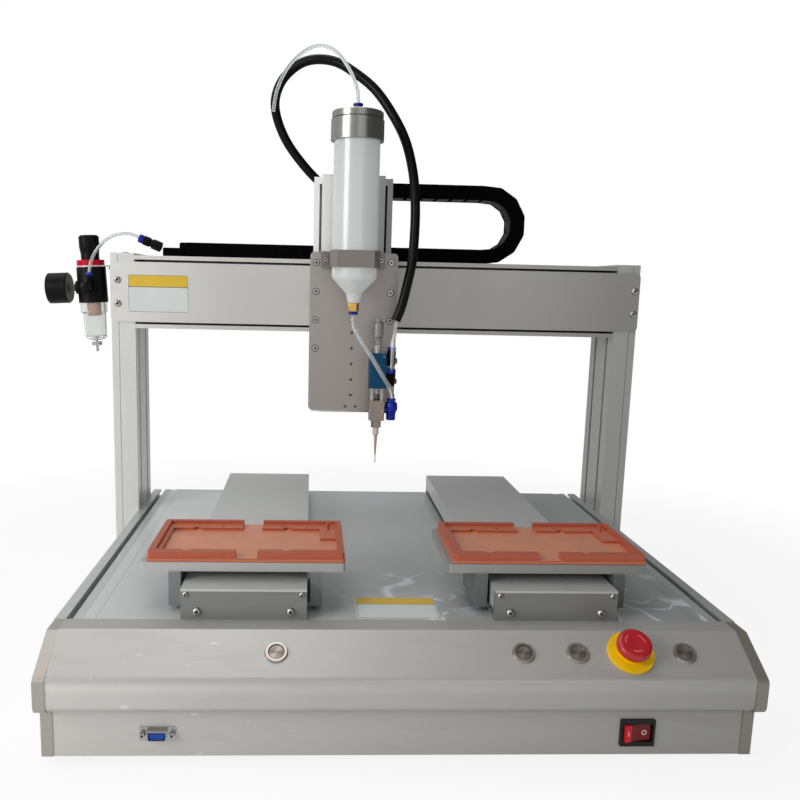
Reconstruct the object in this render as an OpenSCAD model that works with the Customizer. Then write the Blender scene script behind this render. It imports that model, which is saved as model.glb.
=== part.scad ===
// Desktop dispensing robot: a wide base with two sliding work stations, a gantry
// beam on two columns, and a travelling head with a reservoir and a needle valve.
// Millimetres. X to the right, Y to the back, Z up. The origin is the centre of
// the base's underside; the rubber feet reach below it.

/* [Base housing] */
// Width over both end caps
base_w = 620; // [560:1:700]
// Depth from the skirt's front face to the rear face
base_d = 500; // [470:1:560]
// Height of the deck over the underside
base_h = 104.5; // [98:0.5:125]
// Thickness of the sheet and of the extruded front's wall
wall_t = 3; // [2:0.1:4]
// Height of the upright skirt below the rounded nose
skirt_h = 39; // [34:0.5:42]
// Radius of the hollow under the nose
cove_r = 8.4; // [5:0.1:8.6]
// Radius of the nose's lower edge
nose_r = 8.4; // [5:0.1:8.6]
// How far the nose stands out in front of the skirt
nose_out = 17.3; // [17.3:0.1:22]
// Radius of the fold between the nose and the control slope
fold_r = 6; // [4:0.5:10]
// Level length of the control slope
slope_run = 41.7; // [38:0.1:50]
// Angle of the control slope
slope_deg = 32.4; // [26:0.1:35]
// Radius of the edge between the slope and the top ledge
edge_r = 4; // [3:0.5:8]
// Depth of the level ledge behind the slope
ledge_d = 20.6; // [16:0.1:26]
// Thickness of each end cap
cap_t = 10; // [6:0.5:14]
// How far an end cap stands proud of the front's outline
cap_proud = 0.8; // [0.3:0.1:1.5]
// Width of each side frame seen from above
frame_w = 24.2; // [22:0.1:30]
// Width of the long slot in a side frame
frame_slot_w = 6; // [4:0.5:8]
// Diameter of a rubber foot
foot_d = 26; // [20:1:34]
// Height of a rubber foot
foot_h = 8; // [5:0.5:15]

/* [Gantry] */
// Width of a column seen from the front
column_w = 30; // [26:1:40]
// Depth of a column
column_d = 80; // [74:1:90]
// Height of a column's top over the underside
column_top = 438; // [420:1:500]
// Distance of the columns' front face behind the base's centre
gantry_y = 144; // [140:1:150]
// Height of the beam
beam_h = 91.6; // [90:0.2:98]
// Drop from a column's top to the beam's top
beam_drop = 2.5; // [0.5:0.5:10]
// Thickness of the beam's upper and lower walls
beam_wall = 5.2; // [4:0.1:7]
// Thickness of a linear module's back wall
back_t = 4.5; // [3:0.1:5]
// Width of the long slots beside a module's cover
slot_w = 2.9; // [2.6:0.1:3.4]
// Thickness of the covers over the beam and the head
cover_t = 3; // [2:0.1:4]

/* [Stations] */
// Distance of each station's centre line from the middle
station_x = 142; // [130:0.5:150]
// Width of a station's linear module
module_w = 113; // [105:0.5:120]
// Height of a station's module above the deck
module_h = 28.5; // [28.5:0.1:34]
// Thickness of a station module's base plate
module_base_t = 4; // [3:0.1:4]
// Thickness of the folded cover
module_cover_t = 2; // [1.5:0.1:2.2]
// Thickness of a module's end plates
end_plate_t = 6; // [4:0.5:8]
// Gap from the module's end to the base's rear edge
module_rear_gap = 13; // [8:1:20]
// Width of the table plate
table_w = 188; // [180:1:200]
// Depth of the table plate
table_d = 108; // [100:1:116]
// Thickness of the table plate
table_t = 8.5; // [6:0.5:12]
// How far the table plate is set to the left of the station's centre line
table_shift = 2.5; // [0:0.5:4]
// Clear height between a module and its table
table_lift = 8.5; // [6:0.5:14]
// Thickness of the legs that reach down beside the module
leg_t = 11.1; // [8:0.1:14]
// Gap between a leg and the module
leg_gap = 2.9; // [2:0.1:4]
// Length of a carriage along its travel
station_carriage_l = 60; // [50:1:64]
// Width of the fixture on the table
jig_w = 183; // [176:1:190]
// Depth of the fixture
jig_d = 105; // [98:1:108]
// Thickness of the fixture
jig_t = 9; // [8:0.5:12]
// Depth of the fixture's upper ledge
jig_ledge_depth = 3; // [2:0.1:3.5]
// Depth of the fixture's pocket floor
jig_floor_depth = 5.5; // [4.5:0.1:6.5]

/* [Head] */
// Position of the head's centre line from the middle
head_x = -37.5; // [-60:0.5:0]
// Width of the head's linear module
head_w = 94; // [90:0.5:100]
// Depth of the head module without its cover
head_d = 37; // [36:0.5:42]
// Length of the head module
head_l = 282; // [276:1:300]
// Height of the head module's lower end over the underside
head_bottom = 248.5; // [240:0.5:260]
// Thickness of the plate that carries the head on the beam
carrier_t = 10; // [8:0.5:12]
// Clear gap in front of the beam's cover
carrier_gap = 3; // [2:0.5:5]
// Width of the vertical plate
plate_w = 105; // [98:0.5:110]
// Height of the vertical plate
plate_h = 190; // [184:1:196]
// Thickness of the vertical plate
plate_t = 8; // [6:0.5:10]
// Height of the plate's lower edge above the module's lower end
plate_rise = 4; // [0:0.5:8]
// Clear gap between the plate and the head's cover
plate_gap = 4; // [2:0.5:6]
// Outer diameter of the reservoir
tank_d = 52; // [46:0.5:56]
// Wall of the reservoir
tank_wall = 2; // [1.5:0.1:3]
// Distance of the reservoir's surface in front of the plate
tank_gap = 6; // [4:0.5:12]
// Height of the reservoir's straight wall
tank_h = 152; // [140:1:170]
// Height of the reservoir's cone
tank_cone_h = 17.5; // [12:0.5:26]
// Height of the strap that clamps the reservoir
clamp_h = 19; // [14:0.5:24]

/* [Valve] */
// Distance of the valve's axis to the right of the reservoir's
valve_dx = 30.5; // [28:0.5:34]
// Width and depth of the valve's blue air cylinder
valve_w = 20.8; // [18:0.1:22]
// Height of the air cylinder
valve_h = 42; // [36:0.5:50]
// Width of the steel fluid body
fluid_w = 18; // [15:0.1:20]
// Height of the steel fluid body
fluid_h = 24; // [20:0.5:28]
// Length of the open posts between the two bodies
post_h = 14.5; // [12:0.5:20]
// Diameter of the stroke adjuster's thimble
thimble_d = 12.6; // [11:0.1:14]
// Length of the dispensing needle below its hub
needle_l = 34; // [24:0.5:40]

/* [Drag chain] */
// Height of a chain link
chain_h = 18; // [16:0.5:22]
// Width of the chain, front to back
chain_w = 38; // [30:0.5:44]
// Distance between two link pins
chain_pitch = 20; // [19:0.5:24]
// Angle by which the bend's first link already leans
chain_lead_deg = 5.3; // [3:0.1:12.8]
// Number of links in the bend
bend_links = 7; // [6:1:9]
// Number of links in the upper run
upper_links = 7; // [6:1:8]
// Number of links in the lower run
lower_links = 19; // [14:1:19]

/* [Controls] */
// Diameter of a push button's bezel
bezel_d = 20.4; // [18:0.1:22]
// Diameter of a push button's cap
button_d = 14.2; // [12:0.1:15]
// Travel of a push button
button_stroke = 2.5; // [1:0.1:3]
// Diameter of the stop button's yellow ring
stop_ring_d = 40; // [34:0.5:42]
// Diameter of the stop button's red head
stop_head_d = 29.5; // [26:0.5:32]
// Width of the mains rocker's frame
rocker_frame_w = 31; // [28:0.5:34]
// Height of the mains rocker's frame
rocker_frame_h = 25; // [22:0.5:28]
// Distance between the serial port's jack screws
jack_pitch = 25; // [24:0.1:26]

/* [Air regulator] */
// Distance of the regulator's axis from the column's outer face
reg_off = 28.6; // [26:0.2:36]
// Height of the regulator body's lower face over the underside
reg_z = 374.5; // [340:0.5:380]
// Angle at which the regulator leans to the left
reg_lean = 3.2; // [0:0.1:5]
// Diameter of the regulator's body
reg_d = 36.6; // [32:0.2:40]
// Height of the regulator's body
reg_h = 45.5; // [40:0.5:50]
// Diameter of the adjusting knob
knob_d = 25.2; // [22:0.2:28]
// Height of the adjusting knob
knob_h = 31; // [26:0.5:36]
// Diameter of the clear filter bowl
bowl_d = 29; // [26:0.2:31]
// Length of the clear filter bowl below its guard ring
bowl_l = 36; // [30:0.5:42]
// Diameter of the pressure gauge
gauge_d = 39; // [36:0.5:42]

/* [Hidden] */
$fn = 48;

// Clearances and shared small sizes
fit = 0.08;
gap = 0.4;
seam = 0.15;
over = 1;
arc_steps = 5;

// Colours
silver = [0.76, 0.76, 0.75];
dark_silver = [0.55, 0.56, 0.57];
steel = [0.7, 0.7, 0.71];
black = [0.06, 0.06, 0.07];
rubber_black = [0.1, 0.1, 0.1];
terracotta = [0.66, 0.29, 0.19];
milky = [0.88, 0.89, 0.88, 0.8];
clear = [0.85, 0.87, 0.88, 0.5];
valve_blue = [0.02, 0.33, 0.47];
fitting_blue = [0.05, 0.2, 0.72];
brass = [0.78, 0.6, 0.28];
red = [0.78, 0.07, 0.1];
yellow = [0.95, 0.76, 0.05];
board_green = [0.1, 0.38, 0.22];

// Outline of the extruded front, as corners with a radius each
front_y = -base_d / 2;
rear_y = base_d / 2;
nose_y = front_y - nose_out;
fold_z = base_h - slope_run * tan(slope_deg);
slope_edge_y = nose_y + slope_run;
ledge_back_y = slope_edge_y + ledge_d;
nose_z = skirt_h + cove_r;
fascia_corners = [
    [front_y, 0], [front_y, nose_z], [nose_y, nose_z], [nose_y, fold_z],
    [slope_edge_y, base_h], [ledge_back_y, base_h]
];
fascia_radii = [0, cove_r, nose_r, fold_r, edge_r, 0];

// Places along the front, as shares of the base's width from its middle
button_x_shares = [-0.179, 0.166, 0.2426, 0.3953];
stop_x_share = 0.3175;
serial_x_share = -0.341;
rocker_x_share = 0.333;
control_slope_share = 0.535;
port_z_share = 0.54;
port_z = skirt_h * port_z_share;

// Side frames, deck and tray
inner_x = base_w / 2 - frame_w;
frame_flange_t = 9;
frame_slot_inset = 10;
frame_pocket_w = 11;
frame_lip_t = 3;
frame_ledge_w = 8;
deck_t = 3;
tray_t = 2;
foot_inset = 70;
foot_r = foot_d / 2;
vent_w = 3;
vent_l = 40;
vent_count = 8;
vent_pitch = 8;
inlet_w = 27.5;
inlet_h = 20;
inlet_depth = 22;
inlet_z = 40;
inlet_x = 190;
inlet_flange = 4;
inlet_blade_l = 15;
inlet_blade_h = 4;
foot_taper_share = 0.86;
supply_size = [110, 200, 42];
supply_cover_share = 0.2;
board_size = [150, 110, 1.6];
standoff_h = 8;
standoff_r = 3;
standoff_x_shares = [0.06, 0.94];
standoff_y_shares = [0.08, 0.92];
part_x_shares = [0.12, 0.32, 0.52, 0.72];
part_w_share = 0.12;
part_y_share = 0.3;
part_h = 12;

// Linear modules: rails, screws and motors
rail_w = 12;
rail_h = 8;
rail_waist_share = 0.76;
rail_low_share = 0.35;
rail_high_share = 0.65;
screw_r = 4;
coupling_r = 7.5;
coupling_l = 14;
shaft_r = 2.5;
shaft_l = 6;
motor_small = 28;
motor_small_l = 30;
motor_large = 41;
motor_large_l = 42;
motor_chamfer = 3;
bearing_l = 8;
rail_foot_gap = 1;
nut_share = 0.16;

// Beam
column_out_x = base_w / 2 + column_w;
column_foot_z = 10;
beam_top = column_top - beam_drop;
beam_mid_z = beam_top - beam_h / 2;
beam_inner = beam_h / 2 - beam_wall;
beam_cover_half = beam_inner - slot_w;
beam_back_y = gantry_y + column_d;
beam_screw_r = 6;
beam_screw_h = 26.5;
beam_saddle_h = 42;
beam_saddle_l = 70;
beam_rail_pitch = 46;
fin_t = slot_w - 2 * gap;
fin_half = beam_cover_half + slot_w - gap;
beam_cover_y = gantry_y - cover_t;
beam_cover_r = 6;
carrier_front_y = beam_cover_y - carrier_gap - carrier_t;
x_motor_clear = 5;
x_motor_x = base_w / 2 - x_motor_clear - motor_large_l;
x_screw_end = x_motor_x - coupling_l - gap;
column_slot_w = 6.2;
column_slot_d = 5;
column_slot_offset = 20;
column_line_share = 0.31;
column_line_w = 1;
column_cap_t = 2.5;

// Stations
deck_z = base_h;
module_front_y = ledge_back_y - gap;
module_rear_y = rear_y - module_rear_gap;
module_l = module_rear_y - module_front_y;
module_screw_h = 12;
module_saddle_h = 20.5;
module_saddle_half = 44;
module_rail_pitch = 60;
module_slot_h = 5;
foot_gap = 0.5;
foot_t = module_slot_h - 2 * foot_gap;
leg_in = module_w / 2 + leg_gap;
leg_out = leg_in + leg_t;
carriage_front_gap = 20;
table_front_gap = 22;
table_z = deck_z + module_h + table_lift;
jig_z = table_z + table_t;
table_mid_y = module_front_y + table_front_gap + table_d / 2;
jig_r = 3;
jig_step_z = 3.6;
jig_step_w = 1;
jig_front_rim = 10;
jig_side_rim = 7;
jig_rear_rim = 6;
jig_rear_ledge = 14.5;
jig_left_ledge = 4.5;
jig_right_ledge = 16;
jig_right_ledge_d = 43;
jig_notch_w = 20;
jig_relief_r = 4;
jig_hole_r = 1.6;
jig_pin_r = 2;
jig_pin_h = 6;

// Head
head_back_y = carrier_front_y;
head_inner = fin_half + gap;
head_wall = head_w / 2 - head_inner;
head_cover_half = head_inner - slot_w;
head_end_t = 8;
head_screw_h = 18.8;
head_saddle_h = 31;
head_saddle_l = 90;
head_saddle_z = 316;
head_rail_pitch = 52;
z_motor_z = head_l - head_end_t - motor_small_l;
head_cover_y = head_back_y - head_d - cover_t;
plate_back_y = head_cover_y - plate_gap;
plate_front_y = plate_back_y - plate_t;
plate_z = head_bottom + plate_rise;
plate_top = plate_z + plate_h;
plate_r = 5;
plate_shift = 2;
plate_cx = head_x + plate_shift;
plate_hole_r = 1.6;
plate_hole_pitch = 19;
plate_hole_count = 5;
plate_hole_z = plate_z + plate_hole_pitch;
plate_hole_x = head_x + plate_shift / 2;
plate_low_pitch = 12.4;
plate_low_rise = 5;
plate_low_z = plate_z + plate_low_rise;

// Reservoir
tank_y = plate_front_y - tank_gap - tank_d / 2;
tank_shift = 0.5;
tank_x = head_x + tank_shift;
tank_r = tank_d / 2;
tank_z = 412;
neck_top_r = 9.2;
neck_low_r = 7;
neck_h = 10.5;
neck_z = tank_z - tank_cone_h - neck_h;
shoulder_r = 8;
neck_round_r = 3;
collar_r = 30;
collar_h = 22.5;
cap_r = 29;
cap_h = 9;
cap_groove = 1;
cap_z = tank_z + tank_h + collar_h;
clamp_proud = 0.5;
clamp_z = plate_top - clamp_h + clamp_proud;
clamp_tab_w = 10;
clamp_tab_t = 5;
clamp_wall = 2;
clamp_front = 3;
clamp_chamfer = 7;
clamp_hole_r = 2.6;
brass_r = 6.2;
brass_h = 10;
ring_r = 5.7;
ring_h = 3.5;
top_fitting_h = 6;
tube_r = 2;

// Valve
valve_x = tank_x + valve_dx;
valve_y = 50;
fluid_z = 246;
post_z = fluid_z + fluid_h;
valve_z = post_z + post_h;
valve_top = valve_z + valve_h;
valve_mount_w = 18;
post_r = 1.6;
post_offset = 6;
plunger_r = 2.4;
valve_edge_r = 2;
fluid_edge_r = 1;
hex_h = 9.2;
hex_r = 6;
hub_r = 3.7;
hub_h = 9.4;
hub_bevel = 1;
needle_root_r = 2.3;
needle_tip_r = 0.9;
needle_metal_share = 0.72;
sleeve_r = 4.6;
sleeve_h = 18;
spindle_r = 3;
spindle_rise = 26;
spindle_top = 8;
spindle_end_z = valve_top + sleeve_h + spindle_top;
spindle_play = 2;
thimble_z = 9;
thimble_h = 30;
thimble_wall = 1.2;
thimble_bevel_z = 8;
ratchet_h = 3;
port_pitch = 24;
elbow_r = 5.3;
elbow_l = 22;
elbow_leans = [12, 32];
port_drop = 10;
fluid_elbow_r = 7;
fluid_elbow_l = 26;
elbow_off = 5.6;
elbow_neck_share = 0.9;
elbow_ring_share = 0.92;
bolt_share = 0.6;
bolt_out = 2;
fluid_gap = 1.5;
fluid_ring_share = 0.8;
fluid_port_share = 0.4;

// Drag chain
chain_y = gantry_y + column_d / 2;
chain_low_z = beam_top + gap + chain_h / 2;
chain_turn_deg = (180 - 2 * chain_lead_deg) / (bend_links - 1);
chain_top_z = chain_low_z + bend_pin(bend_links).y;
chain_bend_x = 135;
chain_lower_x = chain_bend_x - lower_links * chain_pitch;
chain_upper_x = chain_bend_x - upper_links * chain_pitch;
chain_plate_t = 2.4;
chain_pin_r = 2.6;
chain_bar_t = 2;
chain_bar_gap = 2;
chain_lug_r = chain_h / 2 - chain_bar_t - gap;
chain_end_l = 33;
chain_end_h_share = 0.6;
bracket_t = 3;
bracket_inset = 14.5;
bracket_w = 65;
bracket_rise = 7;
shelf_z = chain_top_z - chain_h / 2 - seam - bracket_t;

// Controls
bezel_t = 2;
barrel_r = 7.9;
barrel_l = 22;
nut_r = 10.5;
nut_h = 3;
button_sink = 0.8;
button_h = 3.4;
bezel_bevel = 1;
stop_ring_t = 3;
stop_hub_r = 12;
stop_hub_h = 3;
stop_barrel_r = 10.8;
stop_barrel_l = 34;
stop_stem_r = 5.5;
stop_stroke = 4;
stop_head_h = 14.5;
stop_stem_top = 8;
stop_bore_share = 0.7;
stop_bore_l = stop_barrel_l * stop_bore_share;
stop_stem_z = stop_ring_t + stop_hub_h + stop_stem_top;
stop_rim = 4;
stop_crown = 5;
stop_bevel = 1;
stop_radii = [0, 0.5, 2, 3, 4, 0];
rocker_flange_t = 2;
rocker_wall = 2.4;
rocker_depth = 18;
rocker_pocket = 11;
rocker_half = 12;
rocker_rise = 2.2;
rocker_body_w = rocker_frame_w - 2 * rocker_flange_t;
rocker_body_h = rocker_frame_h - 2 * rocker_flange_t;
rocker_tilt = 11;
rocker_play = 1.2;
rocker_edge = 1.5;
rocker_floor = 3;
rocker_pin_r = 1;
rocker_pin_l = 1.6;
frame_edge_r = 1;
serial_flange_w = 31;
serial_flange_h = 12.5;
serial_flange_t = 1;
serial_shell_w = 17.4;
serial_shell_h = 9;
serial_shell_l = 6;
serial_shell_t = 0.8;
serial_body_l = 10;
serial_slant_share = 0.1;
serial_recess = 1.5;
jack_r = 2.6;
jack_hole_r = 1.2;
jack_l = 5;
contact_r = 0.6;
contact_pitch = 2.75;
contact_row = 2.8;

// Regulator
reg_inset = 26;
reg_y = gantry_y + reg_inset;
reg_r = reg_d / 2;
reg_x = -column_out_x - reg_off;
port_h = 20;
bonnet_r = 17.2;
bonnet_h = 7;
bracket_ring_t = 1.6;
spindle_top_r = 4;
knob_flutes = 12;
knob_flute_r = 1.6;
guard_r = 17;
guard_h = 12.4;
bowl_wall = 2;
bowl_round = 6;
drain_boss_r = 6.2;
drain_boss_h = 5;
drain_r = 1.7;
drain_l = 15;
drain_push = 2;
element_r = 8.7;
element_l = 17;
gauge_depth = 27;
gauge_reach = 28.5;
gauge_neck_r = 4.6;
gauge_bezel = 2.6;
gauge_recess = 3;
gauge_hand_r = 14;
inlet_port_r = 5.7;
inlet_port_l = 10;
boss_r = 11;
boss_out = 3;
gauge_boss_r = 8.5;
gauge_boss_out = 2;
spindle_sink = 10;
spindle_l = 35;
ring_step = 1;
bracket_plate_t = 3;
bracket_plate_h = 48;
bracket_plate_drop = 30;
bracket_arm_l = 6;
bracket_arm_t = 5;
knob_skirt = 1.2;
knob_skirt_h = 8;
knob_flare_h = 16;
knob_edge = 2;
knob_bore_h = 24;
knob_flute_z = 4;
gauge_edge = 2;
gauge_rim = 1;
gauge_pin_r = 1;
gauge_pin_l = 3;
hand_back = 4;
hand_half = 1;
hand_tip = 0.3;
hand_t = 0.6;
hand_deg = 135;
guard_edge = 1;
bowl_taper = 1.2;
drain_play = 0.6;
element_floor = 2;
supply_tilt = 16;
supply_boss_r = 7;
supply_boss_l = 12;
supply_elbow_r = 5.6;
supply_elbow_l = 15;
supply_elbow_y = 6;
supply_ring_r = 5.2;
supply_ring_l = 3;
inline_r = 6;
inline_l = 12;
inline_neck_r = 5;
inline_neck_l = 4;
inline_nut_r = 6.4;
inline_nut_l = 12;
inline_tilt = 112;

// Length of one step of the hose routes, whose points follow
route_step = 1;
// Hose routes, chosen by hand in the part's own frame
sleeve_route = [
    [-48, 176, 520], [-62, 168, 526], [-81, 162, 536], [-103, 158, 558], [-121, 153, 582],
    [-132, 147, 607], [-134, 140, 628], [-125, 133, 649], [-106, 126, 665], [-85, 119, 670],
    [-61, 112, 666], [-39, 105, 653], [-15, 97, 633], [5, 88, 605], [21, 76, 572],
    [30, 66, 534], [33, 60, 499], [33, 57, 466], [31, 55, 433], [26, 54, 406], [20, 54, 380],
    [14, 54, 364]
];
tank_air_route = [
    [-136, 130, 611], [-131, 122, 635], [-118, 108, 657], [-99, 92, 671], [-80, 77, 674],
    [-62, 63, 664], [-48, 52, 644], [-40, 46, 626], [-37.4, 44, 614], [-37, 44, 603]
];
fluid_route = [
    [-37, 44, 372.5], [-36.5, 40, 358], [-31, 35, 346], [-25, 31, 336], [-17, 28, 325],
    [-9, 27, 312], [0, 29, 298], [8, 37, 286], [12, 46, 276], [12, 50, 269.5]
];
valve_air_1_route = [
    [16.5, 57, 371], [15.5, 56, 362], [13.5, 52, 351], [11, 47.5, 342], [9.7, 46, 336],
    [9.5, 46.9, 330.5]
];
valve_air_2_route = [
    [15.2, 51, 370], [14.3, 50.4, 363], [12.8, 44.5, 353], [11.2, 40, 344], [10, 37.3, 335],
    [9.5, 36.3, 326], [9.5, 37, 317], [9.5, 39.6, 309.5], [9.5, 43, 303.5]
];
// Measured from the regulator
supply_route = [
    [1.6, -27, 33.5], [3.6, -25, 49.5], [8.6, -21, 63.5], [18.6, -15, 77.5], [30.6, -10, 85.5],
    [44.6, -5, 88.5], [54.6, -2, 86.5], [62.6, 0, 82.5]
];
sleeve_tube_r = 5.6;

// Angle of a link in the bend, and the place of a pin from the bend's first one
function bend_deg(i) = chain_lead_deg + i * chain_turn_deg;
function bend_pin(i) = i == 0 ? [0, 0]
  : bend_pin(i - 1) + chain_pitch * [cos(bend_deg(i - 1)), sin(bend_deg(i - 1))];

function unit(v) = v / norm(v);
function reversed(list) = [for (i = [len(list) - 1:-1:0]) list[i]];
function rect(w, h) = [[-w / 2, -h / 2], [w / 2, -h / 2], [w / 2, h / 2], [-w / 2, h / 2]];

// Points of the arc that rounds corner b between a and c with radius r
function corner_arc(a, b, c, r) =
  let(
    u = unit(a - b), v = unit(c - b), half = acos(u * v) / 2,
    p0 = b + u * r / tan(half), p1 = b + v * r / tan(half),
    mid = b + unit(u + v) * r / sin(half),
    a0 = atan2(p0.y - mid.y, p0.x - mid.x), a1 = atan2(p1.y - mid.y, p1.x - mid.x),
    raw = a1 - a0, turn = raw > 180 ? raw - 360 : raw < -180 ? raw + 360 : raw
  )
  [for (i = [0:arc_steps])
    mid + r * [cos(a0 + turn * i / arc_steps), sin(a0 + turn * i / arc_steps)]];

// An open outline with its inner corners rounded
function round_open(pts, radii) = [
  pts[0],
  for (i = [1:len(pts) - 2])
    each (radii[i] > 0 ? corner_arc(pts[i - 1], pts[i], pts[i + 1], radii[i]) : [pts[i]]),
  pts[len(pts) - 1]
];

// A closed outline with all corners rounded
function round_closed(pts, r) = [
  for (n = len(pts), i = [0:n - 1])
    each corner_arc(pts[(i + n - 1) % n], pts[i], pts[(i + 1) % n], r)
];

// An outline shifted by t to the right of its heading
function inward(path, t) = [
  for (i = [0:len(path) - 1])
    let(d = unit(path[min(i + 1, len(path) - 1)] - path[max(i - 1, 0)]))
    path[i] + t * [d.y, -d.x]
];

// Catmull-Rom points through a route, two to a stretch
function spline(p) = [
  for (i = [0:len(p) - 2])
    let(a = p[max(i - 1, 0)], b = p[i], c = p[i + 1], d = p[min(i + 2, len(p) - 1)])
    each [b, (9 * (b + c) - a - d) / 16],
  p[len(p) - 1]
];

// A tube of round section swept along a route
module tube(points, r, sides) {
  route = route_step * spline(points);
  last = len(route) - 1;
  rings = [
    for (i = [0:last])
      let(
        d = unit(route[min(i + 1, last)] - route[max(i - 1, 0)]),
        u = unit(cross(d, [0, 1, 0])), v = cross(d, u)
      )
      for (k = [0:sides - 1])
        route[i] + r * (cos(360 * k / sides) * u + sin(360 * k / sides) * v)
  ];
  walls = [
    for (i = [0:last - 1], k = [0:sides - 1])
      [i * sides + k, (i + 1) * sides + k,
        (i + 1) * sides + (k + 1) % sides, i * sides + (k + 1) % sides]
  ];
  polyhedron(rings, concat(
    walls,
    [[for (k = [0:sides - 1]) k]],
    [[for (k = [sides - 1:-1:0]) last * sides + k]]
  ));
}

module along_x(x, l) {
  translate([x, 0, 0]) rotate([90, 0, 90]) linear_extrude(l) children();
}

module along_y(y, l) {
  translate([0, y + l, 0]) rotate([90, 0, 0]) linear_extrude(l) children();
}

module both_sides() {
  children();
  mirror([1, 0, 0]) children();
}

// A rod from z0 up, a bore that starts one overrun lower, and a rounded plate
module rod(x, y, z0, r, h) {
  translate([x, y, z0]) cylinder(r = r, h = h);
}

module bore(x, y, z0, r, h) {
  rod(x, y, z0 - over, r, h + 2 * over);
}

module plate(w, h, r, t) {
  linear_extrude(t) polygon(round_closed(rect(w, h), r));
}

// Frame on the control slope at one share of the base's width, Z out of the panel
module on_slope(x_share) {
  run = slope_run * control_slope_share;
  translate([base_w * x_share, nose_y + run, fold_z + run * tan(slope_deg)])
    rotate([slope_deg, 0, 0]) children();
}

// Frame on the skirt's face, Z out of it to the front
module on_skirt(x_share) {
  translate([base_w * x_share, front_y, port_z]) rotate([90, 0, 0]) children();
}

// Local frames of the linear modules: Z along the travel, Y = 0 on the back wall
module x_axis_frame() {
  translate([0, beam_back_y, beam_mid_z]) rotate([0, 90, 0]) children();
}

module y_axis_frame(side) {
  translate([side * station_x, module_front_y, deck_z]) rotate([-90, 0, 0]) children();
}

module z_axis_frame() {
  translate([head_x, head_back_y, head_bottom]) children();
}

// Two guide rails with waisted flanks on a back wall of thickness h
module rails(pitch, z0, l, h) {
  half = rail_w / 2;
  low = rail_h * rail_low_share;
  high = rail_h * rail_high_share;
  outline = [
    [-half, 0], [-half, -low], [-half * rail_waist_share, -rail_h / 2], [-half, -high],
    [-half, -rail_h], [half, -rail_h], [half, -high],
    [half * rail_waist_share, -rail_h / 2], [half, -low], [half, 0]
  ];
  both_sides()
    translate([pitch / 2, -h, z0]) linear_extrude(l) polygon(outline);
}

// The block that runs on the rails, with the nut's bore for the screw
module saddle(half_w, pitch, z0, l, h0, h1, screw_h, r) {
  slot_half = rail_w / 2 + gap;
  inner = r + pitch * nut_share;
  difference() {
    translate([-half_w, -h1, z0]) cube([2 * half_w, h1 - h0 - rail_foot_gap, l]);
    both_sides() {
      translate([pitch / 2 - slot_half, -h0 - rail_h - gap, z0 - over])
        cube([2 * slot_half, rail_h + gap, l + 2 * over]);
      translate([inner, -h0 - rail_h - gap, z0 - over])
        cube([pitch / 2 - slot_half - inner + over, rail_h + gap, l + 2 * over]);
    }
    bore(0, -screw_h, z0, r + fit, l);
  }
}

// Screw, coupling and motor shaft in one line
module drive_screw(h, r, z0, z1) {
  rod(0, -h, z0, r, z1 - z0);
  rod(0, -h, z1, coupling_r, coupling_l);
  rod(0, -h, z1 + coupling_l, shaft_r, shaft_l);
}

// Square stepper motor whose face is at z0
module motor(h, z0, size, l) {
  half = size / 2;
  flat = half - motor_chamfer;
  difference() {
    translate([0, -h, z0]) linear_extrude(l) polygon([
      [half, -flat], [half, flat], [flat, half], [-flat, half],
      [-half, flat], [-half, -flat], [-flat, -half], [flat, -half]
    ]);
    bore(0, -h, z0, shaft_r + fit, shaft_l);
  }
}

// Extruded front with its rounded nose and control slope
module front_fascia() {
  path = round_open(fascia_corners, fascia_radii);
  through = 4 * wall_t;
  color(silver) difference() {
    along_x(-base_w / 2 + cap_t, base_w - 2 * cap_t)
      polygon(concat(path, reversed(inward(path, wall_t))));
    for (s = button_x_shares)
      on_slope(s) rod(0, 0, -through / 2, barrel_r + fit, through);
    on_slope(stop_x_share) rod(0, 0, -through / 2, stop_barrel_r + fit, through);
    on_skirt(rocker_x_share) linear_extrude(through, center = true)
      polygon(rect(rocker_body_w + 2 * fit, rocker_body_h + 2 * fit));
    on_skirt(serial_x_share) {
      linear_extrude(through, center = true)
        polygon(rect(serial_shell_w + 2 * fit, serial_shell_h + 2 * fit));
      both_sides() rod(jack_pitch / 2, 0, -through / 2, jack_r + fit, through);
    }
  }
}

// Cast end caps that follow the front's outline
module end_caps() {
  low = nose_z - cap_proud;
  face = front_y - cap_proud;
  top = base_h - cap_proud;
  grown = [
    [face, 0], [face, low], [nose_y - cap_proud, low], [nose_y - cap_proud, fold_z],
    [slope_edge_y - cap_proud, top], [ledge_back_y, top], [ledge_back_y, 0]
  ];
  color(silver) both_sides() difference() {
    along_x(base_w / 2 - cap_t, cap_t)
      polygon(round_open(grown, concat(fascia_radii, [0])));
    along_x(base_w / 2 - cap_t - over, cap_t / 2 + over) polygon([
      [front_y + 2 * cap_t, 2 * cap_t], [ledge_back_y - cap_t, 2 * cap_t],
      [ledge_back_y - cap_t, base_h - 2 * cap_t], [slope_edge_y, base_h - 2 * cap_t],
      [nose_y + 2 * cap_t, fold_z - cap_t], [front_y + 2 * cap_t, nose_z]
    ]);
  }
}

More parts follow.
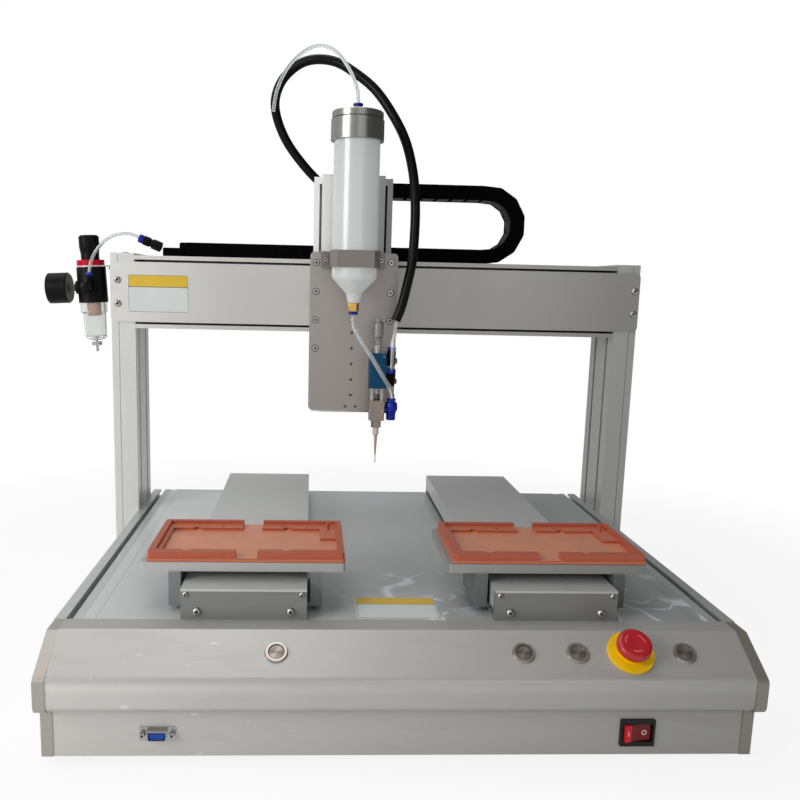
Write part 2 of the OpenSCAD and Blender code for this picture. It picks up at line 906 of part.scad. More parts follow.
// Long side extrusions with a slot on top and a ledge for the deck
module side_frames() {
  x1 = base_w / 2;
  ledge_z = base_h - deck_t - seam;
  pocket_z = base_h - frame_flange_t;
  bottom_z = tray_t + seam;
  outline = [
    [x1, 0], [x1, base_h], [inner_x, base_h], [inner_x, ledge_z],
    [inner_x - frame_ledge_w, ledge_z], [inner_x - frame_ledge_w, ledge_z - wall_t],
    [inner_x, pocket_z - frame_pocket_w], [x1 - wall_t, pocket_z - frame_pocket_w],
    [x1 - wall_t, bottom_z + wall_t], [inner_x, bottom_z + wall_t], [inner_x, bottom_z],
    [x1 - wall_t, bottom_z], [x1 - wall_t, 0]
  ];
  color(silver) both_sides() difference() {
    along_y(ledge_back_y, rear_y - ledge_back_y) polygon(outline);
    translate([x1 - frame_slot_inset - frame_slot_w, ledge_back_y - over, pocket_z])
      cube([frame_slot_w, base_d, frame_flange_t + over]);
    translate([x1 - frame_slot_inset - (frame_slot_w + frame_pocket_w) / 2,
      ledge_back_y - over, pocket_z])
      cube([frame_pocket_w, base_d, frame_flange_t - frame_lip_t]);
  }
}

// Opening for a station's motor through a plate of thickness t over the deck's top
module motor_opening(t) {
  translate([-motor_small / 2 - gap, -t - over,
    module_l - end_plate_t - motor_small_l - gap])
    cube([motor_small + 2 * gap, t + deck_t + 2 * over, motor_small_l + gap]);
}

// Deck plate with openings for the station motors
module deck_plate() {
  color(dark_silver) difference() {
    translate([-inner_x + seam, ledge_back_y + seam, base_h - deck_t])
      cube([2 * (inner_x - seam), rear_y - tray_t - ledge_back_y - 2 * seam, deck_t]);
    for (side = [-1, 1])
      y_axis_frame(side) motor_opening(0);
  }
}

// Folded bottom and rear sheet with vents and the mains inlet
module base_tray() {
  bottom_w = base_w - 2 * (wall_t + seam);
  front_w = base_w - 2 * (cap_t + seam);
  rear_w = 2 * (inner_x - frame_ledge_w - seam);
  color(dark_silver) difference() {
    union() {
      translate([-front_w / 2, front_y + wall_t + seam, 0])
        cube([front_w, base_d - wall_t - seam, tray_t]);
      translate([-bottom_w / 2, ledge_back_y + seam, 0])
        cube([bottom_w, rear_y - ledge_back_y - seam, tray_t]);
      translate([-rear_w / 2, rear_y - tray_t, 0]) cube([rear_w, tray_t, base_h]);
    }
    for (side = [-1, 1], i = [0:vent_count - 1])
      translate([side * base_w / 8 + (i - vent_count / 2) * vent_pitch,
        rear_y - tray_t - over, base_h / 2 - vent_l / 2])
        cube([vent_w, tray_t + 2 * over, vent_l]);
    translate([inlet_x - inlet_w / 2, rear_y - tray_t - over, inlet_z - inlet_h / 2])
      cube([inlet_w, tray_t + 2 * over, inlet_h]);
  }
  translate([inlet_x, rear_y, inlet_z]) rotate([-90, 0, 0]) {
    color(black) difference() {
      union() {
        plate(inlet_w + 2 * inlet_flange, inlet_h + 2 * inlet_flange, inlet_flange, tray_t);
        translate([0, 0, -inlet_depth]) linear_extrude(inlet_depth)
          polygon(rect(inlet_w, inlet_h));
      }
      translate([0, 0, tray_t - inlet_depth]) linear_extrude(inlet_depth + over)
        polygon(rect(inlet_w - 2 * tray_t, inlet_h - 2 * tray_t));
    }
    color(steel)
      for (k = [-1:1])
        translate([k * inlet_w / 4, 0, -inlet_depth]) linear_extrude(inlet_blade_l)
          polygon(rect(tray_t, inlet_blade_h));
  }
}

// Four rubber feet under the bottom sheet
module rubber_feet() {
  color(rubber_black)
    for (sx = [-1, 1], sy = [-1, 1])
      translate([sx * (base_w / 2 - foot_inset), sy * (base_d / 2 - foot_inset), -foot_h])
        cylinder(r1 = foot_r * foot_taper_share, r2 = foot_r, h = foot_h);
}

// Power supply, control board and their standoffs inside the base
module control_electronics() {
  color(silver) difference() {
    translate([inner_x - supply_size.x - foot_inset, 0, tray_t]) cube(supply_size);
    translate([inner_x - supply_size.x - foot_inset + tray_t, tray_t, 2 * tray_t])
      cube([supply_size.x - 2 * tray_t, supply_size.y * supply_cover_share, supply_size.z]);
  }
  translate([-board_size.x, 0, tray_t]) {
    color(board_green) translate([0, 0, standoff_h]) cube(board_size);
    color(brass)
      for (i = standoff_x_shares, j = standoff_y_shares)
        rod(board_size.x * i, board_size.y * j, 0, standoff_r, standoff_h);
    color(black)
      for (i = part_x_shares)
        translate([board_size.x * i, board_size.y * part_y_share, standoff_h + board_size.z])
          cube([board_size.x * part_w_share, board_size.y * part_y_share, part_h]);
  }
}

// One column: box section with two slots a side and a fine line on the front
module column(side) {
  w = column_w / 2;
  line_x = side * (w - column_w * column_line_share);
  color(silver) translate([side * (base_w / 2 + w), gantry_y, 0]) {
    difference() {
      translate([-w, 0, column_foot_z])
        cube([column_w, column_d, column_top - column_cap_t - column_foot_z]);
      for (s = [-1, 1], y = [column_slot_offset, column_d - column_slot_offset])
        translate([s * w - column_slot_d / 2, y - column_slot_w / 2, column_foot_z - over])
          cube([column_slot_d, column_slot_w, column_top]);
      translate([line_x - column_line_w / 2, -column_line_w, column_foot_z - over])
        cube([column_line_w, 2 * column_line_w, column_top]);
    }
    translate([-w, 0, column_top - column_cap_t]) cube([column_w, column_d, column_cap_t]);
  }
}

module column_left() {
  column(-1);
}

module column_right() {
  column(1);
}

// Open-fronted beam with its bearing block
module beam_frame() {
  start = -base_w / 2 + seam;
  color(silver) x_axis_frame() difference() {
    union() {
      difference() {
        translate([-beam_h / 2, -column_d, start]) cube([beam_h, column_d, -2 * start]);
        translate([-beam_inner, -column_d - over, start - over])
          cube([2 * beam_inner, column_d + over - back_t, base_w + 2 * over]);
        both_sides()
          translate([beam_h / 2 - column_slot_d / 2, -column_d / 2 - column_slot_w / 2,
            start - over])
          cube([column_slot_d, column_slot_w, base_w + 2 * over]);
      }
      translate([-beam_h / 4, -beam_saddle_h, start])
        cube([beam_h / 2, beam_saddle_h - back_t + seam, bearing_l]);
    }
    bore(0, -beam_screw_h, start, beam_screw_r + fit, bearing_l);
  }
}

// Flat cover over the beam, screwed to the columns
module beam_cover() {
  color(silver) translate([0, gantry_y, beam_mid_z]) rotate([90, 0, 0])
    plate(2 * column_out_x, 2 * beam_cover_half, beam_cover_r, cover_t);
}

// All guide rails that are fixed to the frame
module guide_rails() {
  x0 = -base_w / 2 + bearing_l + 2 * gap;
  color(steel) {
    x_axis_frame() rails(beam_rail_pitch, x0, x_screw_end - x0, back_t);
    for (side = [-1, 1])
      y_axis_frame(side) rails(module_rail_pitch, end_plate_t + seam,
        module_l - 2 * (end_plate_t + seam), module_base_t);
  }
}

// Stepper motors of the beam and of both stations
module stepper_motors() {
  color(black) {
    x_axis_frame() motor(beam_screw_h, x_motor_x, motor_large, motor_large_l);
    for (side = [-1, 1])
      y_axis_frame(side) motor(module_screw_h, module_l - end_plate_t - motor_small_l,
        motor_small, motor_small_l);
  }
}

module x_screw() {
  color(steel) x_axis_frame()
    drive_screw(beam_screw_h, beam_screw_r, -base_w / 2 + gap, x_screw_end);
}

// Carriage of the beam: saddle, two fins through the slots, the carrier plate
// and the bracket that takes the drag chain
module x_carriage() {
  outer_h = beam_back_y - head_back_y - carrier_t;
  bracket_z = beam_mid_z + beam_h / 2;
  color(silver) {
    x_axis_frame() {
      saddle(fin_half, beam_rail_pitch, head_x - beam_saddle_l / 2, beam_saddle_l,
        back_t, beam_saddle_h, beam_screw_h, beam_screw_r);
      both_sides()
        translate([fin_half - fin_t, -outer_h - seam, head_x - beam_saddle_l / 2])
        cube([fin_t, outer_h + seam - beam_saddle_h + over, beam_saddle_l]);
    }
    translate([head_x - head_w / 2, head_back_y, bracket_z - beam_h - carrier_t])
      cube([head_w, carrier_t, beam_h + 2 * carrier_t]);
    translate([head_x - head_w / 2 + bracket_inset, head_back_y, bracket_z])
      cube([bracket_w, bracket_t, chain_top_z + bracket_rise - bracket_z]);
    translate([chain_upper_x - chain_end_l, head_back_y, shelf_z])
      cube([chain_end_l + chain_pitch / 2, chain_y + chain_w / 2 - head_back_y, bracket_t]);
  }
}

// Base plates and end plates of both stations
module y_frames() {
  color(dark_silver)
    for (side = [-1, 1])
      y_axis_frame(side) difference() {
        union() {
          translate([-module_w / 2, -module_base_t, 0])
            cube([module_w, module_base_t, module_l]);
          for (z = [0, module_l - end_plate_t])
            translate([-module_w / 2, -module_h + module_cover_t, z])
              cube([module_w, module_h - module_cover_t, end_plate_t]);
        }
        bore(0, -module_screw_h, 0, screw_r + fit, end_plate_t);
        motor_opening(module_base_t);
      }
}

// Folded covers over both stations
module y_covers() {
  side_h = module_h - module_base_t - module_slot_h;
  color(dark_silver)
    for (side = [-1, 1])
      y_axis_frame(side) {
        translate([-module_w / 2, -module_h, 0]) cube([module_w, module_cover_t, module_l]);
        both_sides()
          translate([module_w / 2 - module_cover_t, -module_h, end_plate_t])
          cube([module_cover_t, side_h, module_l - 2 * end_plate_t]);
      }
}

module y_screw(side) {
  color(steel) y_axis_frame(side)
    drive_screw(module_screw_h, screw_r, gap,
      module_l - end_plate_t - motor_small_l - coupling_l - gap);
}

module y_left_screw() {
  y_screw(-1);
}

module y_right_screw() {
  y_screw(1);
}

// Station carriage: saddle, feet through the low slots, legs and the table plate
module y_carriage(side) {
  z0 = carriage_front_gap;
  foot_low = module_base_t + foot_gap;
  color(silver) {
    y_axis_frame(side) {
      saddle(module_saddle_half, module_rail_pitch, z0, station_carriage_l,
        module_base_t, module_saddle_h, module_screw_h, screw_r);
      both_sides() {
        translate([module_saddle_half - over, -foot_low - foot_t, z0])
          cube([leg_out - module_saddle_half + over, foot_t, station_carriage_l]);
        translate([leg_in, -module_h - table_lift, z0])
          cube([leg_t, module_h + table_lift - foot_low, station_carriage_l]);
      }
    }
    translate([side * station_x - table_shift, table_mid_y, table_z])
      plate(table_w, table_d, jig_r, table_t);
  }
}

module y_left_carriage() {
  y_carriage(-1);
}

module y_right_carriage() {
  y_carriage(1);
}

// Machined fixture with its ledges, pocket, notches, holes and locating pin
module jig(side) {
  w = jig_w / 2;
  d = jig_d / 2;
  floor_z = jig_t - jig_floor_depth;
  ledge_z = jig_t - jig_ledge_depth;
  rear_y = d - jig_rear_rim - jig_rear_ledge;
  right_x = w - jig_side_rim - jig_right_ledge;
  left_x = -w + jig_side_rim + jig_left_ledge;
  front = -d + jig_front_rim;
  translate([side * station_x, table_mid_y, jig_z]) {
    color(terracotta) difference() {
      union() {
        plate(jig_w, jig_d, jig_r, jig_step_z);
        plate(jig_w - 2 * jig_step_w, jig_d - 2 * jig_step_w, jig_r, jig_t);
      }
      translate([-w + jig_side_rim, front, ledge_z])
        cube([jig_w - 2 * jig_side_rim, jig_d - jig_front_rim - jig_rear_rim, jig_t]);
      translate([left_x, front, floor_z]) cube([right_x - left_x, rear_y - front, jig_t]);
      translate([right_x - over, front, floor_z])
        cube([jig_right_ledge + over, jig_right_ledge_d, jig_t]);
      translate([-jig_notch_w / 2, -d - over, floor_z])
        cube([jig_notch_w, jig_d + 2 * over, jig_t]);
      for (s = [-1, 1]) {
        rod(s * w / 2 - jig_notch_w / 2, rear_y, floor_z, jig_relief_r, jig_t);
        rod(s * w / 2 - jig_notch_w / 2, front, ledge_z, jig_relief_r, jig_t);
        rod(s * w / 3, rear_y + jig_rear_ledge / 2, floor_z, jig_hole_r, jig_t);
      }
    }
    color(steel)
      rod(w - jig_side_rim - jig_right_ledge / 2, rear_y, ledge_z, jig_pin_r, jig_pin_h);
  }
}

module y_left_jig() {
  jig(-1);
}

module y_right_jig() {
  jig(1);
}

// Head module: open-fronted channel with end blocks and its guide rails
module z_frame() {
  z_axis_frame() {
    color(silver) difference() {
      translate([-head_w / 2, -head_d, 0]) cube([head_w, head_d, head_l]);
      translate([-head_inner, -head_d - over, head_end_t])
        cube([2 * head_inner, head_d + over - back_t, head_l - 2 * head_end_t]);
      bore(0, -head_screw_h, 0, screw_r + fit, head_end_t);
      both_sides()
        translate([head_w / 2 - head_wall / 2, -head_d / 2 - column_slot_w / 2, -over])
        cube([head_wall, column_slot_w, head_l + 2 * over]);
    }
    color(steel) rails(head_rail_pitch, head_end_t + seam,
      head_l - 2 * (head_end_t + seam), back_t);
  }
}

module z_cover() {
  color(silver) z_axis_frame()
    translate([-head_cover_half, -head_d - cover_t, 0])
    cube([2 * head_cover_half, cover_t, head_l + cover_t]);
}

module z_motor() {
  color(black) z_axis_frame() motor(head_screw_h, z_motor_z, motor_small, motor_small_l);
}

module z_screw() {
  color(steel) z_axis_frame()
    drive_screw(head_screw_h, screw_r, gap, z_motor_z - coupling_l - gap);
}

// Vertical plate with its saddle, fins and tapped holes
module z_plate() {
  outer_h = head_back_y - plate_back_y;
  z0 = head_saddle_z - head_bottom;
  hole_l = plate_t + 2 * over;
  color(silver) difference() {
    union() {
      z_axis_frame() {
        saddle(fin_half, head_rail_pitch, z0, head_saddle_l, back_t,
          head_saddle_h, head_screw_h, screw_r);
        both_sides()
          translate([fin_half - fin_t, -outer_h - over, z0])
          cube([fin_t, outer_h + 2 * over - head_saddle_h, head_saddle_l]);
      }
      translate([plate_cx, plate_back_y, plate_z + plate_h / 2]) rotate([90, 0, 0])
        plate(plate_w, plate_h, plate_r, plate_t);
    }
    for (i = [0:plate_hole_count - 1])
      translate([plate_hole_x, plate_back_y + over, plate_hole_z + i * plate_hole_pitch])
        rotate([90, 0, 0]) cylinder(r = plate_hole_r, h = hole_l);
    for (s = [-1, 1])
      translate([plate_hole_x + s * plate_low_pitch / 2, plate_back_y + over, plate_low_z])
        rotate([90, 0, 0]) cylinder(r = plate_hole_r, h = hole_l);
  }
}

// Strap with bevelled corners that holds the reservoir on the plate
module tube_clamp() {
  half = tank_r + clamp_wall;
  out = half + clamp_tab_w;
  front = tank_y - tank_r - clamp_front;
  tab_y = plate_front_y - clamp_tab_t;
  outline = [
    [-out, plate_front_y], [-out, tab_y], [-half, tab_y], [-half, front + clamp_chamfer],
    [-half + clamp_chamfer, front], [half - clamp_chamfer, front],
    [half, front + clamp_chamfer], [half, tab_y], [out, tab_y], [out, plate_front_y]
  ];
  color(silver) translate([tank_x, 0, clamp_z]) difference() {
    linear_extrude(clamp_h) polygon(outline);
    bore(0, tank_y, 0, tank_r + fit, clamp_h);
    translate([0, plate_front_y + over, clamp_h / 2]) rotate([90, 0, 0])
      both_sides() rod(half + clamp_tab_w / 2, 0, 0, clamp_hole_r, clamp_tab_t + 2 * over);
  }
}

// Milky reservoir with a rounded shoulder, a cone and a neck
module reservoir_tube() {
  outer = round_open([
    [neck_low_r, neck_z], [neck_top_r, neck_z + neck_h], [tank_r, tank_z],
    [tank_r, tank_z + tank_h]
  ], [0, neck_round_r, shoulder_r, 0]);
  color(milky) translate([tank_x, tank_y, 0])
    rotate_extrude() polygon(concat(outer, reversed(inward(outer, -tank_wall))));
}

// Collar and screw cap of the reservoir
module reservoir_cap() {
  z0 = tank_z + tank_h;
  inner = tank_r - tank_wall + seam;
  color(silver) translate([tank_x, tank_y, 0]) rotate_extrude() polygon([
    [inner, z0], [collar_r, z0],
    [collar_r, cap_z - seam], [cap_r - cap_groove, cap_z],
    [cap_r - cap_groove, cap_z + cap_groove], [cap_r, cap_z + 2 * cap_groove],
    [cap_r, cap_z + cap_h - cap_groove], [cap_r - cap_groove, cap_z + cap_h],
    [0, cap_z + cap_h], [0, z0 + collar_h / 2], [inner, z0 + collar_h / 2]
  ]);
}

// Blue air cylinder of the valve with its mounting block, posts and sleeve
module valve_body() {
  w = valve_w / 2;
  translate([valve_x, valve_y, 0]) {
    color(valve_blue) difference() {
      translate([0, 0, valve_z]) plate(valve_w, valve_w, valve_edge_r, valve_h);
      rod(0, 0, valve_top - spindle_rise, spindle_r + fit, spindle_rise + over);
    }
    color(steel) {
      translate([-valve_mount_w / 2, w, valve_z])
        cube([valve_mount_w, plate_front_y - valve_y - w, valve_h]);
      for (sx = [-1, 1], sy = [-1, 1])
        rod(sx * post_offset, sy * post_offset, post_z, post_r, post_h);
      rod(0, 0, post_z, plunger_r, post_h);
      difference() {
        rod(0, 0, valve_top, sleeve_r, sleeve_h);
        bore(0, 0, valve_top, spindle_r + fit, sleeve_h);
      }
    }
  }
}

// Steel fluid body with the needle's nut
module fluid_body() {
  color(steel) translate([valve_x, valve_y, fluid_z]) {
    plate(fluid_w, fluid_w, fluid_edge_r, fluid_h);
    translate([0, 0, -hex_h]) cylinder(r = hex_r, h = hex_h, $fn = 6);
  }
}

// Needle with its hub and fine tip
module dispense_needle() {
  z = fluid_z - hex_h;
  root = z - hub_h;
  color(steel) translate([valve_x, valve_y, 0]) rotate_extrude() polygon([
    [0, z], [hub_r, z], [hub_r, root + hub_bevel], [hub_r - hub_bevel, root],
    [needle_root_r, root], [needle_tip_r, root - needle_l * needle_metal_share],
    [needle_tip_r, root - needle_l], [0, root - needle_l]
  ]);
}

// Spindle of the stroke adjuster, which rises as the thimble turns
module stroke_spindle() {
  z0 = valve_top - spindle_rise + spindle_play;
  color(steel) rod(valve_x, valve_y, z0, spindle_r, spindle_end_z - z0);
}

// Knurled thimble with its ratchet stop
module stroke_thimble() {
  z = valve_top + thimble_z;
  top = z + thimble_h;
  r = thimble_d / 2;
  bore_z = spindle_end_z - thimble_bevel_z / 2;
  color(silver) translate([valve_x, valve_y, 0]) rotate_extrude() polygon([
    [sleeve_r + fit, z], [r - thimble_wall, z], [r - thimble_wall, z + thimble_bevel_z],
    [r, z + thimble_bevel_z + thimble_wall], [r, top - ratchet_h - thimble_wall],
    [r - thimble_wall, top - ratchet_h], [r / 2, top - ratchet_h], [r / 2, top], [0, top],
    [0, spindle_end_z + seam], [spindle_r + fit, spindle_end_z + seam],
    [spindle_r + fit, bore_z], [sleeve_r + fit, bore_z]
  ]);
}

// One push-in elbow on the valve's right side: banjo, bolt and release ring
module elbow(z, r, lean) {
  collar_z = elbow_l - ring_h - r;
  translate([0, 0, z]) rotate([lean, 0, 0]) {
    color(black) {
      rod(elbow_off, 0, -r, r, elbow_l - ring_h);
      rotate([0, 90, 0]) {
        rod(0, 0, 0, r * elbow_neck_share, elbow_off);
        translate([0, 0, elbow_off]) cylinder(r = r * bolt_share, h = r + bolt_out, $fn = 6);
      }
    }
    color(fitting_blue) rod(elbow_off, 0, collar_z, r * elbow_ring_share, ring_h);
  }
}

// Push-in fittings of the valve and of the reservoir
module push_fittings() {
  fluid_x = fluid_w / 2 + fluid_gap + fluid_elbow_r;
  translate([valve_x + valve_w / 2, valve_y, 0])
    for (i = [0, 1])
      elbow(valve_top - port_drop - i * port_pitch, elbow_r, elbow_leans[i]);
  color(fitting_blue) translate([valve_x, valve_y, fluid_z]) {
    rod(fluid_x, 0, 0, fluid_elbow_r, fluid_elbow_l - ring_h);
    rod(fluid_x, 0, fluid_elbow_l - ring_h, fluid_elbow_r * fluid_ring_share, ring_h);
    translate([fluid_w / 2, 0, fluid_h * fluid_port_share]) rotate([0, 90, 0])
      cylinder(r = fluid_elbow_r * bolt_share, h = fluid_elbow_r);
  }
  translate([tank_x, tank_y, 0]) {
    color(brass) {
      translate([0, 0, neck_z - brass_h]) cylinder(r = brass_r, h = brass_h, $fn = 6);
      translate([0, 0, cap_z + cap_h]) cylinder(r = ring_r, h = top_fitting_h, $fn = 6);
    }
    color(fitting_blue) {
      rod(0, 0, neck_z - brass_h - ring_h, ring_r, ring_h);
      rod(0, 0, cap_z + cap_h + top_fitting_h, ring_r, ring_h);
    }
  }
}

// Clear hoses of the head
module clear_hoses() {
  color(clear)
    for (route = [tank_air_route, fluid_route, valve_air_1_route, valve_air_2_route])
      tube(route, tube_r, 8);
}

// Black sleeve that bundles the head's hoses
module hose_sleeve() {
  color(black) tube(sleeve_route, sleeve_tube_r, 12);
}

// One chain link: outer plates about the first pin, inner lugs about the second
module chain_link() {
  half = chain_h / 2;
  joggle = chain_pitch - half;
  for (s = [-1, 1])
    translate([0, s * chain_w / 2, 0]) mirror([0, s > 0 ? 1 : 0, 0]) rotate([90, 0, 0])
      mirror([0, 0, 1]) {
        difference() {
          linear_extrude(chain_plate_t) union() {
            circle(r = half);
            translate([0, -half]) square([joggle - seam, chain_h]);
          }
          bore(0, 0, 0, chain_pin_r + fit, chain_plate_t);
        }
        translate([half + seam, -chain_lug_r, 0])
          cube([joggle - half - 2 * seam, 2 * chain_lug_r, 2 * chain_plate_t + seam]);
        translate([0, 0, chain_plate_t + seam]) linear_extrude(chain_plate_t) union() {
          translate([chain_pitch, 0]) circle(r = chain_lug_r);
          translate([half + seam, -chain_lug_r])
            square([chain_pitch - half - seam, 2 * chain_lug_r]);
        }
        rod(chain_pitch, 0, 0, chain_pin_r, chain_plate_t + over);
      }
  for (z = [-half, half - chain_bar_t])
    translate([chain_bar_gap, (chain_plate_t - chain_w) / 2, z])
      cube([joggle - seam - chain_bar_gap, chain_w - chain_plate_t, chain_bar_t]);
}

// Mounting piece of a run's end, with a tongue between the last lugs
module chain_end(x, z) {
  translate([x - chain_end_l, chain_y - chain_w / 2, z - chain_h / 2])
    cube([chain_end_l - chain_h / 2 - seam, chain_w, chain_h * chain_end_h_share]);
  translate([x - chain_h / 2 - over, chain_y - chain_w / 2 + 2 * chain_plate_t + gap,
    z - chain_h / 2])
    cube([chain_h, chain_w - 4 * chain_plate_t - 2 * gap, chain_bar_t]);
}

// Run that lies on the beam, with its fixed end
module chain_lower_run() {
  color(black) {
    for (i = [1:lower_links])
      translate([chain_bend_x - i * chain_pitch, chain_y, chain_low_z]) chain_link();
    chain_end(chain_lower_x, chain_low_z);
  }
}

module chain_bend() {
  color(black)
    for (i = [0:bend_links - 1])
      translate([chain_bend_x + bend_pin(i).x, chain_y, chain_low_z + bend_pin(i).y])
        rotate([0, -bend_deg(i), 0]) chain_link();
}

module chain_upper_run() {
  color(black) {
    for (i = [0:upper_links - 1])
      translate([chain_bend_x - i * chain_pitch, chain_y, chain_top_z])
        rotate([0, 180, 0]) chain_link();
    chain_end(chain_upper_x, chain_top_z);
  }
}

// Bezels of the push buttons, the yellow stop ring and the rocker's frame
module panel_bezels() {
  for (s = button_x_shares)
    color(steel) on_slope(s) difference() {
      union() {
        cylinder(r1 = bezel_d / 2, r2 = bezel_d / 2 - bezel_bevel, h = bezel_t);
        rod(0, 0, -barrel_l, barrel_r, barrel_l);
        translate([0, 0, -wall_t - nut_h - seam]) cylinder(r = nut_r, h = nut_h, $fn = 6);
      }
      rod(0, 0, bezel_t - button_sink - button_h - button_stroke - gap,
        button_d / 2 + fit, barrel_l);
    }
  on_slope(stop_x_share) {
    color(yellow) difference() {
      rod(0, 0, 0, stop_ring_d / 2, stop_ring_t);
      bore(0, 0, 0, stop_barrel_r, stop_ring_t);
    }
    color(black) difference() {
      union() {
        rod(0, 0, -stop_barrel_l, stop_barrel_r, stop_barrel_l + stop_ring_t);
        rod(0, 0, stop_ring_t, stop_hub_r, stop_hub_h);
      }
      rod(0, 0, -stop_bore_l, stop_stem_r + fit, 2 * stop_barrel_l);
    }
  }
  on_skirt(rocker_x_share) color(black) difference() {
    union() {
      plate(rocker_frame_w, rocker_frame_h, frame_edge_r, rocker_flange_t);
      translate([0, 0, -rocker_depth]) linear_extrude(rocker_depth + over)
        polygon(rect(rocker_body_w, rocker_body_h));
    }
    translate([0, 0, rocker_flange_t - rocker_pocket]) linear_extrude(rocker_pocket + over)
      polygon(rect(2 * (rocker_half + rocker_play), rocker_body_h - 2 * rocker_wall));
    rotate([90, 0, 0]) cylinder(r = rocker_pin_r + fit,
      h = rocker_body_h - 2 * rocker_wall + 2 * (rocker_pin_l + gap), center = true);
  }
}

module push_button(i) {
  color(steel) on_slope(button_x_shares[i])
    rod(0, 0, bezel_t - button_sink - button_h, button_d / 2, button_h);
}

module push_button_1() {
  push_button(0);
}

module push_button_2() {
  push_button(1);
}

module push_button_3() {
  push_button(2);
}

module push_button_4() {
  push_button(3);
}

module estop_stem() {
  z0 = -stop_bore_l + stop_stroke + gap;
  color(black) on_slope(stop_x_share) rod(0, 0, z0, stop_stem_r, stop_stem_z - z0);
}

// Red mushroom head of the stop button
module estop_head() {
  z0 = stop_ring_t + stop_hub_h + stop_stroke + gap;
  top = z0 + stop_head_h;
  r = stop_head_d / 2;
  outline = round_open([
    [stop_stem_r + fit, z0], [r - stop_bevel, z0], [r, z0 + stop_rim],
    [r, top - stop_crown], [r - stop_crown, top - stop_bevel], [0, top]
  ], stop_radii);
  color(red) on_slope(stop_x_share) rotate_extrude()
    polygon(concat(outline, [[0, stop_stem_z + seam], [stop_stem_r + fit, stop_stem_z + seam]]));
}

// Mains rocker, which tips about its upright pin
module rocker() {
  h = rocker_body_h - 2 * rocker_wall - 2 * gap;
  depth = rocker_pocket - rocker_flange_t - rocker_floor;
  color(red) on_skirt(rocker_x_share) rotate([0, rocker_tilt, 0]) rotate([90, 0, 0]) {
    translate([0, 0, -h / 2]) linear_extrude(h) polygon([
      [-rocker_half, rocker_rise], [-rocker_half, -rocker_edge], [-rocker_half / 3, -depth],
      [rocker_half / 3, -depth], [rocker_half, -rocker_edge], [rocker_half, rocker_rise],
      [0, rocker_rise / 2]
    ]);
    cylinder(r = rocker_pin_r, h = h + 2 * (rocker_pin_l + gap), center = true);
  }
}

// Outline of the serial shell, made smaller by t
function shell_outline(t) =
  let(w = serial_shell_w / 2 - t, h = serial_shell_h / 2 - t,
    low = w - serial_shell_w * serial_slant_share)
  [[-w, h], [-low, -h], [low, -h], [w, h]];

// Nine-way serial port with its jack screws
module serial_port() {
  on_skirt(serial_x_share) {
    color(steel) difference() {
      union() {
        plate(serial_flange_w, serial_flange_h, frame_edge_r, serial_flange_t);
        translate([0, 0, -serial_body_l]) linear_extrude(serial_shell_l + serial_body_l)
          polygon(shell_outline(0));
        both_sides() translate([jack_pitch / 2, 0, -jack_l])
          cylinder(r = jack_r, h = 2 * jack_l, $fn = 6);
      }
      translate([0, 0, serial_flange_t]) linear_extrude(serial_shell_l)
        polygon(shell_outline(serial_shell_t));
      both_sides() rod(jack_pitch / 2, 0, 0, jack_hole_r, 2 * jack_l);
    }
    color(valve_blue) difference() {
      translate([0, 0, serial_flange_t]) linear_extrude(serial_shell_l - serial_recess)
        polygon(shell_outline(2 * serial_shell_t));
      for (i = [0:8])
        rod((i < 5 ? i - 2 : i - 6.5) * contact_pitch, (i < 5 ? 0.5 : -0.5) * contact_row,
          serial_flange_t + serial_shell_t, contact_r, serial_shell_l);
    }
  }
}

// Local frame of the regulator: Z up its axis, from the body's lower face
module at_regulator() {
  translate([reg_x, reg_y, reg_z]) rotate([0, -reg_lean, 0]) children();
}

// Body with its port bosses, bonnet ring and bracket
module regulator_body() {
  at_regulator() difference() {
    union() {
      color(black) {
        rod(0, 0, 0, reg_r, reg_h);
        translate([0, 0, port_h]) {
          rotate([90, 0, 0]) cylinder(r = boss_r, h = reg_r + boss_out, $fn = 8);
          rotate([-90, 0, 0]) rod(0, 0, 0, boss_r, reg_r + boss_out);
          rotate([0, -90, 0]) rod(0, 0, 0, gauge_boss_r, reg_r + gauge_boss_out);
        }
      }
      color(red) rod(0, 0, reg_h + bracket_ring_t - seam, bonnet_r, bonnet_h + seam);
      color(steel) {
        rod(0, 0, reg_h - seam, bonnet_r - ring_step, bracket_ring_t + seam);
        translate([0, -reg_r / 2, reg_h]) cube([reg_off, reg_r, bracket_ring_t]);
      }
    }
    translate([0, 0, port_h]) rotate([-90, 0, 0])
      rod(0, 0, reg_r + boss_out - inlet_port_l, inlet_port_r, inlet_port_l + over);
    rod(0, 0, reg_h - spindle_sink, spindle_top_r + fit, reg_h);
  }
  color(steel) translate([-column_out_x, reg_y - reg_r / 2, reg_z + reg_h]) {
    translate([-bracket_plate_t, 0, -bracket_plate_drop])
      cube([bracket_plate_t, reg_r, bracket_plate_h]);
    translate([-bracket_arm_l, 0, -bracket_plate_t])
      cube([bracket_arm_l, reg_r, bracket_arm_t]);
  }
}

module regulator_spindle() {
  color(steel) at_regulator()
    rod(0, 0, reg_h - spindle_sink + gap, spindle_top_r, spindle_l);
}

// Fluted knob that lifts to unlock
module regulator_knob() {
  z0 = reg_h + bracket_ring_t + bonnet_h + gap;
  r = knob_d / 2;
  color(black) at_regulator() difference() {
    rotate_extrude() polygon([
      [spindle_top_r + fit, z0], [r - knob_skirt, z0], [r - knob_skirt, z0 + knob_skirt_h],
      [r, z0 + knob_flare_h], [r, z0 + knob_h - knob_edge], [r - knob_edge, z0 + knob_h],
      [0, z0 + knob_h], [0, z0 + knob_bore_h], [spindle_top_r + fit, z0 + knob_bore_h]
    ]);
    for (i = [0:knob_flutes - 1])
      rotate([0, 0, i * 360 / knob_flutes])
        rod(r + knob_flute_r / 3, 0, z0 + knob_flute_z, knob_flute_r, knob_h);
  }
}

